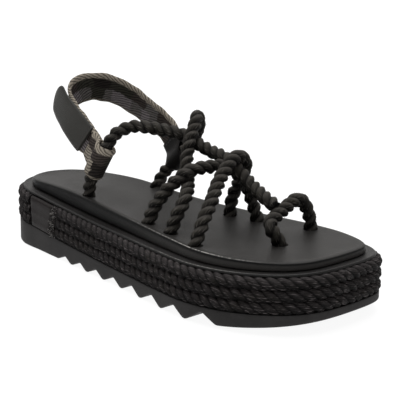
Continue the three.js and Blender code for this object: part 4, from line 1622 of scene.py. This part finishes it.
class SANDAL_OT_outsole(bpy.types.Operator):
    """Builds the rubber outsole with its toothed waist"""

    bl_idname = "sandal.outsole"
    bl_label = "Outsole"

    def execute(self, context):
        sizes = context.scene.sandal_sole
        blur = sizes.tooth_round / MM
        edge = sizes.edge_round / MM

        def under(x):
            # A weighted mean along X rounds the teeth
            spread = np.linspace(-1.5, 1.5, 7)
            weights = np.exp(-(spread**2))
            total = sum(w * tooth_rise(x + s * blur) for s, w in zip(spread, weights))
            soft = total / weights.sum()
            return floor_line(x) + np.where(soft < 0.05, 0, soft)

        profile = [(edge * 2.2, under)]
        for angle in np.linspace(0, math.pi / 2, 5):
            inset = edge * (1 - math.sin(angle))
            rise = edge * (1 - math.cos(angle))
            profile.append((inset, lambda x, rise=rise: under(x) + rise))
        for share in (0.35, 0.6, 0.8):
            profile.append((0.0, lambda x, s=share: mix(under(x) + edge, outsole_top(x) - 0.7, s)))
        profile += [
            (0.0, lambda x: outsole_top(x) - 0.5),
            (0.12, lambda x: outsole_top(x) - 0.15),
            (0.5, outsole_top),
        ]

        def keep_under(shares, place, row):
            return row[:, 2] - under(row[:, 0])

        points, faces = sole_layer(profile, top_columns=6, bottom_columns=24, bottom=keep_under)
        obj = new_object("outsole_rubber", points, faces, angle=50)
        finish_piece(obj, finish("rubber"), ["outsole"])
        return {"FINISHED"}


class SANDAL_OT_core(bpy.types.Operator):
    """Gives the platform's core its foam"""

    bl_idname = "sandal.core"
    bl_label = "Core"

    def execute(self, context):
        core = frame["nodes"]["midsole"]
        for slot in core.material_slots:
            slot.material = finish("foam")
        return {"FINISHED"}


def wrap_row_path(row):
    """Path of one wrapped rope, from the cover's front edge round to its back edge."""
    pitch = WRAP_HEIGHT / WRAP_ROWS
    radius = (pitch - GAP) / 2
    inset = radius - WRAP_BULGE + WRAP_SINK
    ring = ring_at(inset, lambda x: outsole_top(x) + pitch * (row + 0.5))
    share = ring[:, 2] / (HEEL_HEIGHT + WRAP_HEIGHT + pitch)
    front = to_x(mix(COVER["front_bottom"], COVER["front_top"], share)) + GAP
    back = to_x(mix(COVER["back_bottom"], COVER["back_top"], share)) - GAP
    lateral = np.arange(RING_SIZE) <= HALF
    inside = lateral & (ring[:, 0] > back) & (ring[:, 0] < front)
    last_inside = int(np.nonzero(inside)[0].max())
    ring = np.roll(ring, -(last_inside + 1), axis=0)
    count = RING_SIZE - int(inside.sum())
    return evenly(ring[:count], 0.8), radius


class SANDAL_OT_wrap_ropes(bpy.types.Operator):
    """Lays the three ropes round the platform"""

    bl_idname = "sandal.wrap_ropes"
    bl_label = "Wrapped ropes"

    def execute(self, context):
        sizes = context.scene.sandal_ropes
        for row in range(WRAP_ROWS):
            path, radius = wrap_row_path(row)
            rope = with_tree(
                path_object(f"wrapped_rope_{row + 1}", path),
                stranded_rope_tree(),
                {
                    "Diameter": 2 * radius * MM * WRAP_FULLNESS,
                    "Lay": sizes.wrap_lay,
                    "Strands": sizes.wrap_strands,
                    "Strand offset": sizes.wrap_offset,
                    "Sides": 39,
                    "Step": 0.0009,
                    "Unevenness": 0.0009,
                    "Seed": row + 2,
                    "Material": finish("wrap_rope"),
                },
            )
            finish_piece(rope, None, [f"wrap_rope_{row + 1}"])
        return {"FINISHED"}


class SANDAL_OT_cut_ends(bpy.types.Operator):
    """Adds the frayed ends of the wrapped ropes beside the cover"""

    bl_idname = "sandal.cut_ends"
    bl_label = "Frayed ends"

    def execute(self, context):
        # Small pads over each rope's last few millimetres, from which the fibres grow
        pads = []
        faces = []
        pads_per_point = 4
        rng = np.random.default_rng(11)
        for row in range(WRAP_ROWS):
            path, radius = wrap_row_path(row)
            end = path[:4] if path[0][0] > path[-1][0] else path[::-1][:4]
            for point in end:
                for _ in range(pads_per_point):
                    angle = rng.uniform(-1.2, 1.2)
                    out = RING_OUT[np.argmin(((RING[:, :2] - point[:2]) ** 2).sum(1))]
                    spot = point + out * radius * 0.8 * math.cos(angle)
                    spot = spot + np.array([0, 0, radius * 0.85 * math.sin(angle)])
                    side = np.array([out[1], -out[0], 0]) * 0.5
                    up = np.array([0, 0, 0.5])
                    start = len(pads)
                    pads += [spot - side - up, spot + side - up, spot + side + up, spot - side + up]
                    faces.append((start + 3, start + 2, start + 1, start))
        for name, seed, density, finish_name in (
            ("frayed_ends_dark", 4, 1.0e7, "dark_fibre"),
            ("frayed_ends_pale", 9, 3.5e6, "pale_fibre"),
        ):
            patch = new_object(name, pads, faces, smooth=False)
            fray = with_tree(
                patch,
                loose_fibre_tree(),
                {
                    "Density": density,
                    "Length": 0.0026,
                    "Thickness": 0.0001,
                    "Seed": seed,
                    "Material": finish(finish_name),
                },
            )
            finish_piece(fray, None, [])
        return {"FINISHED"}


class SANDAL_OT_cover(bpy.types.Operator):
    """Builds the smooth band over the ropes' ends"""

    bl_idname = "sandal.cover"
    bl_label = "Ropes' cover"

    def execute(self, context):
        pitch = WRAP_HEIGHT / WRAP_ROWS
        high = HEEL_HEIGHT + WRAP_HEIGHT + pitch
        rows, columns = 30, 26
        lateral = RING[: HALF + 1]
        normals = RING_OUT[: HALF + 1]
        outer_points, inner_points = [], []
        for r in range(rows):
            v = r / (rows - 1)
            for c in range(columns):
                u = c / (columns - 1)
                guess = to_x(mix(COVER["back_bottom"], COVER["front_bottom"], u))
                for _ in range(3):
                    z = mix(outsole_top(guess) + GAP, wrap_top(guess) - GAP, v)
                    share = z / high
                    left = mix(COVER["back_bottom"], COVER["back_top"], share)
                    right = mix(COVER["front_bottom"], COVER["front_top"], share)
                    guess = to_x(mix(left, right, u))
                i = np.interp(guess, lateral[:, 0], np.arange(len(lateral)))
                k = int(i)
                w = i - k
                base = mix(lateral[k], lateral[min(k + 1, HALF)], w)
                normal = unit(mix(normals[k], normals[min(k + 1, HALF)], w))
                # The band thins towards its edges and sinks a little between the ropes
                edge = min(u, 1 - u) * (columns - 1)
                rim = min(v, 1 - v) * (rows - 1)
                round_off = 1.1 * math.exp(-edge * 1.1) + 0.8 * math.exp(-rim * 1.2)
                wave = 0.16 * abs(math.cos(math.pi * v * WRAP_ROWS))
                outer = base + normal * (WRAP_BULGE - round_off - wave)
                inner = base - normal * COVER_DEPTH
                outer_points.append([outer[0], outer[1], z])
                inner_points.append([inner[0], inner[1], z])
        points = np.array(outer_points + inner_points)
        count = rows * columns
        faces = []
        for r in range(rows - 1):
            for c in range(columns - 1):
                a = r * columns + c
                faces.append((a, a + 1, a + columns + 1, a + columns))
                faces.append((count + a + columns, count + a + columns + 1, count + a + 1, count + a))
        loop = list(range(columns))
        loop += [r * columns + columns - 1 for r in range(1, rows)]
        loop += [(rows - 1) * columns + c for c in range(columns - 2, -1, -1)]
        loop += [r * columns for r in range(rows - 2, 0, -1)]
        for a, b in zip(loop, loop[1:] + loop[:1]):
            faces.append((b, a, count + a, count + b))
        obj = new_object("ropes_cover", points, faces, angle=60)
        finish_piece(obj, finish("cover"), ["wrap_cover"])
        return {"FINISHED"}


class SANDAL_OT_rim(bpy.types.Operator):
    """Builds the rim with its rounded lip"""

    bl_idname = "sandal.rim"
    bl_label = "Rim"

    def execute(self, context):
        lip = context.scene.sandal_sole.lip / MM
        outer = RIM_INSET - 0.2
        ledge_width = 3.4
        profile = [(outer + 1.0, wrap_top)]
        middle = RIM_THICKNESS - lip
        for angle in np.linspace(-0.45 * math.pi, 0.62 * math.pi, 11):
            inset = outer + lip * (1 - math.cos(angle))
            rise = middle + lip * math.sin(angle)
            profile.append((inset, lambda x, r=rise: wrap_top(x) + r))
        ledge = RIM_THICKNESS - 0.28
        profile.append((outer + 2 * lip + 0.35, lambda x: wrap_top(x) + ledge - 0.02))
        profile.append((outer + ledge_width, lambda x: wrap_top(x) + ledge))
        points, faces = sole_layer(profile, top_columns=3, bottom_columns=3)
        obj = new_object("rim_leather", points, faces, angle=60)
        finish_piece(obj, finish("rim"), ["rim"])
        return {"FINISHED"}


def hole_paths():
    """Each rope's way down through the footbed."""
    for name, rows in ROUTES.items():
        ends = [(rows[0], rows[1])]
        if name not in FREE_ENDS:
            ends.append((rows[-1], rows[-2]))
        for foot, after in ends:
            low, middle = anchor_points(foot)
            below = low - np.array([0, 0, 4 * GAP])
            route = [below, low, middle, to_point(after)]
            yield evenly(smooth_curve(route, np.linspace(0, 1, 60)), 0.8)


class SANDAL_OT_footbed(bpy.types.Operator):
    """Builds the dished footbed with the holes that the ropes go through"""

    bl_idname = "sandal.footbed"
    bl_label = "Footbed"

    def execute(self, context):
        def height(rise):
            return lambda x: mix(bed_bottom(x) - 0.25, bed_top(x), rise)

        corners = [(inset, rise, 0) for inset, rise in BED_EDGE]
        section = smooth_curve(corners, np.linspace(0, 1, 22))
        profile = [
            (BED_INSET + s[0] * BED_EDGE_WIDTH, height(float(np.clip(s[1], 0, 1)))) for s in section
        ]

        def dish(shares, place, row):
            return BED_DISH * math.sin(math.pi * place) * (1 - (2 * shares - 1) ** 4)

        points, faces = sole_layer(profile, top_columns=40, bottom_columns=3, dish=dish)
        bed = new_object("footbed_leather", points, faces)
        cutter_points, cutter_faces = [], []
        sides = 28
        for path in hole_paths():
            along = unit(np.gradient(path, axis=0))
            first = unit(np.cross(along[0], (1, 0, 0)))
            start = len(cutter_points)
            radius = ROPE_DIAMETER / 2 + GAP
            for p, t in zip(path, along):
                n = unit(first - t * first.dot(t))
                b = np.cross(t, n)
                for k in range(sides):
                    angle = 2 * math.pi * k / sides
                    cutter_points.append(p + radius * (n * math.cos(angle) + b * math.sin(angle)))
            cutter_faces += wall_faces(len(path), sides, offset=start)
            last = start + (len(path) - 1) * sides
            cutter_faces.append(tuple(range(start, start + sides))[::-1])
            cutter_faces.append(tuple(range(last, last + sides)))
        cutter = new_object("rope_holes", cutter_points, cutter_faces)
        cut = bed.modifiers.new("Rope holes", "BOOLEAN")
        cut.operation = "DIFFERENCE"
        cut.solver = "EXACT"
        cut.object = cutter
        bed = keep_result(bed)
        bpy.data.objects.remove(cutter)
        bed.data.shade_smooth()
        bed.data.set_sharp_from_angle(angle=math.radians(48))
        finish_piece(bed, finish("bed"), ["footbed"])
        return {"FINISHED"}


class SANDAL_OT_upper_ropes(bpy.types.Operator):
    """Lays the ropes of the upper along their routes"""

    bl_idname = "sandal.upper_ropes"
    bl_label = "Upper ropes"

    def execute(self, context):
        sizes = context.scene.sandal_ropes
        for i, name in enumerate(ROUTES):
            rope = with_tree(
                path_object(f"{name}_rope", rope_path(name)),
                stranded_rope_tree(),
                {
                    "Diameter": sizes.upper_diameter * UPPER_FULLNESS,
                    "Lay": sizes.upper_lay,
                    "Strands": sizes.upper_strands,
                    "Strand offset": sizes.upper_offset,
                    "Sides": 48,
                    "Step": 0.0006,
                    "Unevenness": 0.0008,
                    "Seed": i,
                    "Material": finish("upper_rope"),
                },
            )
            finish_piece(rope, None, ["rope_upper"])
        return {"FINISHED"}


class SANDAL_OT_fuzz(bpy.types.Operator):
    """Adds loose fibres to the upper's ropes"""

    bl_idname = "sandal.fuzz"
    bl_label = "Loose fibres"

    def execute(self, context):
        sizes = context.scene.sandal_ropes
        for i, name in enumerate(ROUTES):
            source = bpy.data.objects[f"{name}_rope"]
            fuzz = with_tree(
                add_object(f"{name}_fuzz", source.data.copy()),
                loose_fibre_tree(),
                {
                    "Density": 250000.0,
                    "Length": sizes.fibre_length,
                    "Thickness": 0.000035,
                    "Seed": i + 20,
                    "Material": finish("fibre"),
                },
            )
            finish_piece(fuzz, None, [])
        return {"FINISHED"}


def corded(shares):
    """Extra thickness of the webbing: a full cord near its upper edge, a thin one at its lower."""
    top = 0.62 * np.exp(-(((shares - 0.84) / 0.13) ** 2))
    low = 0.3 * np.exp(-(((shares + 0.9) / 0.08) ** 2))
    return top + low


class SANDAL_OT_heel_strap(bpy.types.Operator):
    """Builds the striped webbing strap round the heel"""

    bl_idname = "sandal.heel_strap"
    bl_label = "Heel strap"

    def execute(self, context):
        middles, across = strap_line(220)
        # The loop's inner layer takes over before the last four stations
        middles, across = middles[:-4], across[:-4]
        halves = np.full(len(middles), STRAP_WIDTH / 2)
        inner = np.linspace(STRAP_CLOSING * 0.9, 0.0, 9)
        outer = np.linspace(0.0, STRAP_OVERLAP, 16)

        def fan(t):
            return mix(STRAP_SPREAD, STRAP_WIDTH, np.abs(2 * t - 1)) / 2

        loop = turn_round(
            LATERAL_AXES, loop_radius(STRAP_THICKNESS), STRAP_APART, STRAP_CLOSING, inner, outer, fan
        )
        middles = np.vstack([middles, loop[0]])
        across = np.vstack([across, loop[1]])
        halves = np.concatenate([halves, loop[2]])
        run = run_length(middles)
        # The edges waver a little, as woven ones do
        halves = halves + 0.22 * np.sin(run / 3.1) + 0.16 * np.sin(run / 1.7 + 1)
        section = flat_section(STRAP_THICKNESS * 0.86, 41, edge=0.75, swell=corded)
        points, faces = band_mesh(middles, across, halves, section)
        obj = new_object("heel_webbing", points, faces, angle=70)
        store_band_map(obj, run_length(middles), section)
        finish_piece(obj, finish("webbing"), ["heel_strap"])
        return {"FINISHED"}


def tab_stations(count):
    """Middles, width and outward directions of the closing tab, and its stations' shares."""
    middles, across = strap_line(400)
    centre, _, back, _ = LATERAL_AXES
    start = centre + back * TAB_START
    along = np.gradient(middles, axis=0) * -1
    beyond = (middles - start) @ back
    first = len(middles) - 2
    while beyond[first] < 0:
        first -= 1
    middles, across, along = middles[first::-1], across[first::-1], unit(along[first::-1])
    run = run_length(middles)
    take = run <= TAB_LENGTH
    middles, across, along, run = middles[take], across[take], along[take], run[take]
    share = run / TAB_LENGTH
    out = unit(np.cross(across, along))
    offset = (STRAP_THICKNESS + TAB_THICKNESS) / 2 + 2 * GAP
    middles = middles + out * (offset + TAB_LIFT * share[:, None] ** 2)
    bend = int(np.searchsorted(share, TAB_BEND))
    ahead = unit(middles[bend] - middles[bend - 8])
    ease = (TAB_STIFF * smoothstep(share, TAB_BEND, 1))[:, None]
    straight = middles[bend] + ahead * (run - run[bend])[:, None]
    middles = mix(middles, np.where(share[:, None] < TAB_BEND, middles, straight), ease)
    across = mix(across, across[bend], ease)
    # Stations stand closer together towards the tip
    at = 1 - (1 - np.linspace(0, 1, count)) ** 1.35
    picked = [
        np.column_stack([np.interp(at, share, rows[:, i]) for i in range(3)])
        for rows in (middles, across, out)
    ]
    return (*picked, at)


def sew(name, row):
    """A row of stitches along a path on smooth leather."""
    stitches = with_tree(
        path_object(name, row),
        stitch_tree(),
        {"Pitch": STITCH_PITCH, "Thread": THREAD_THICKNESS, "Material": finish("thread")},
    )
    finish_piece(stitches, None, [])


class SANDAL_OT_closing_tab(bpy.types.Operator):
    """Builds the leather closing tab and its stitches"""

    bl_idname = "sandal.closing_tab"
    bl_label = "Closing tab"

    def execute(self, context):
        middles, across, out, share = tab_stations(90)
        # The ellipse of the tip ends just past the last station, which so keeps some width
        tip = np.clip((share - TAB_ROUND) / (1.002 - TAB_ROUND), 0, 1)
        width = TAB_WIDTH * np.sqrt(1 - tip**2)
        middles = middles - across * (TAB_SKEW * tip**2)[:, None]
        section = flat_section(TAB_THICKNESS * 0.95, 31, edge=0.85)
        points, faces = band_mesh(middles, across, width / 2, section)
        obj = new_object("closing_tab_leather", points, faces, angle=70)
        finish_piece(obj, finish("tab"), ["closing_tab"])
        station, reach = 3, 0.86
        line = np.linspace(-reach, reach, 24)[:, None] * TAB_WIDTH / 2 * unit(across[station])
        sew("tab_stitches_1", middles[station] + line + out[station] * (TAB_THICKNESS * 0.46))
        return {"FINISHED"}


class SANDAL_OT_keeper(bpy.types.Operator):
    """Builds the leather keeper at the strap's other end"""

    bl_idname = "sandal.keeper"
    bl_label = "Keeper"

    def execute(self, context):
        reach = KEEPER_CLOSING + KEEPER_OVERLAP
        inner = np.linspace(reach, 0.0, 18)

        def half(t):
            return mix(KEEPER_END_WIDTH, STRAP_WIDTH, np.abs(2 * t - 1)) / 2

        spread = (STRAP_THICKNESS + KEEPER_THICKNESS) / 2 + GAP
        middles, across, halves = turn_round(
            MEDIAL_AXES, loop_radius(KEEPER_THICKNESS), spread, KEEPER_CLOSING, inner, inner[::-1], half
        )
        section = flat_section(KEEPER_THICKNESS * 0.95, 25, edge=0.85)
        points, faces = band_mesh(middles, across, halves, section)
        obj = new_object("keeper_leather", points, faces, angle=70)
        finish_piece(obj, finish("keeper"), ["strap_keeper"])
        centre, rope, back, side = MEDIAL_AXES
        for i, way in enumerate((-1, 1)):
            line = np.linspace(-0.84, 0.84, 24)[:, None] * STRAP_WIDTH / 2 * rope
            rise = side * way * (spread + KEEPER_THICKNESS * 0.46)
            sew(f"keeper_stitches_{i + 1}", centre + back * (reach - 1.8) + rise + line)
        return {"FINISHED"}


def area_light(name, place, aim, size, power, colour):
    """A soft panel of light that faces its aim."""
    light = bpy.data.lights.new(name, "AREA")
    light.shape = "RECTANGLE"
    light.size, light.size_y = size
    light.energy = power
    light.color = colour
    obj = add_object(name, light)
    obj.location = place
    obj.rotation_euler = (Vector(aim) - Vector(place)).to_track_quat("-Z", "Y").to_euler()


class SANDAL_OT_stage(bpy.types.Operator):
    """Sets the pale floor, the soft lights and the camera"""

    bl_idname = "sandal.stage"
    bl_label = "Stage"

    def execute(self, context):
        scene = context.scene
        sizes = scene.sandal_stage
        half = sizes.floor_size / 2
        mesh = bpy.data.meshes.new("floor")
        mesh.from_pydata(
            [(-half, -half, 0), (half, -half, 0), (half, half, 0), (-half, half, 0)], [], [(0, 1, 2, 3)]
        )
        floor = add_object("floor", mesh)
        material, _, shader = new_finish("Pale floor")
        shader.inputs["Base Color"].default_value = colour_of(scene.sandal_colours.floor)
        shader.inputs["Roughness"].default_value = 0.9
        shader.inputs["Specular IOR Level"].default_value = 0.1
        shader.inputs["Emission Color"].default_value = (1, 1, 1, 1)
        shader.inputs["Emission Strength"].default_value = sizes.floor_glow
        mesh.materials.append(material)
        world = bpy.data.worlds.new("Studio")
        world.use_nodes = True
        walls = world.node_tree.nodes["Background"]
        walls.inputs["Color"].default_value = (1, 1, 1, 1)
        walls.inputs["Strength"].default_value = sizes.surround
        scene.world = world
        area_light(
            "back panel",
            place=(-1.84, 1.84, 1.15),
            aim=(0, 0, 0.9),
            size=(4.2, 2.2),
            power=sizes.back_power,
            colour=(1, 0.975, 0.95),
        )
        sun = bpy.data.lights.new("overhead", "SUN")
        sun.energy = sizes.overhead
        sun.angle = math.radians(60)
        high = add_object("overhead", sun)
        high.location = (-0.35, 0.1, 1.5)
        high.rotation_euler = (-high.location).to_track_quat("-Z", "Y").to_euler()
        camera = bpy.data.cameras.new("camera")
        camera.lens = sizes.lens
        camera.sensor_width = 36.0
        camera.sensor_fit = "HORIZONTAL"
        camera.clip_start = 0.01
        eye = add_object("camera", camera)
        place = in_frame(CAMERA_PLACE)
        forward = (in_frame(CAMERA_AIM) - place).normalized()
        right = forward.cross(Vector((0, 0, 1))).normalized()
        up = right.cross(forward)
        tilted = right * math.cos(CAMERA_ROLL) + up * math.sin(CAMERA_ROLL)
        upward = up * math.cos(CAMERA_ROLL) - right * math.sin(CAMERA_ROLL)
        turn = Matrix((tilted, upward, -forward)).transposed()
        eye.matrix_world = Matrix.Translation(place) @ turn.to_4x4()
        scene.camera = eye
        scene.view_settings.view_transform = "Standard"
        return {"FINISHED"}


class SANDAL_PT_panel(bpy.types.Panel):
    """Lists the sandal's pieces, sizes and colours"""

    bl_idname = "SANDAL_PT_panel"
    bl_label = "Rope sandal"
    bl_space_type = "VIEW_3D"
    bl_region_type = "UI"
    bl_category = "Sandal"

    def draw(self, context):
        layout = self.layout
        for operator in OPERATORS:
            layout.operator(operator.bl_idname)
        for group in (
            context.scene.sandal_sole,
            context.scene.sandal_ropes,
            context.scene.sandal_stage,
            context.scene.sandal_colours,
        ):
            box = layout.box()
            for key in group.__annotations__:
                box.prop(group, key)


OPERATORS = (
    SANDAL_OT_stage,
    SANDAL_OT_outsole,
    SANDAL_OT_core,
    SANDAL_OT_wrap_ropes,
    SANDAL_OT_cut_ends,
    SANDAL_OT_cover,
    SANDAL_OT_rim,
    SANDAL_OT_footbed,
    SANDAL_OT_upper_ropes,
    SANDAL_OT_fuzz,
    SANDAL_OT_heel_strap,
    SANDAL_OT_closing_tab,
    SANDAL_OT_keeper,
)
GROUPS = {
    "sandal_sole": SandalSoleSizes,
    "sandal_ropes": SandalRopeSizes,
    "sandal_stage": SandalStageSizes,
    "sandal_colours": SandalColours,
}


def register():
    for group in GROUPS.values():
        bpy.utils.register_class(group)
    for operator in OPERATORS:
        bpy.utils.register_class(operator)
    bpy.utils.register_class(SANDAL_PT_panel)
    for name, group in GROUPS.items():
        setattr(bpy.types.Scene, name, PointerProperty(type=group))


def unregister():
    for name in GROUPS:
        delattr(bpy.types.Scene, name)
    bpy.utils.unregister_class(SANDAL_PT_panel)
    for operator in reversed(OPERATORS):
        bpy.utils.unregister_class(operator)
    for group in reversed(list(GROUPS.values())):
        bpy.utils.unregister_class(group)


def main():
    register()
    for operator in OPERATORS:
        group, name = operator.bl_idname.split(".")
        getattr(getattr(bpy.ops, group), name)()


if __name__ == "__main__":
    main()
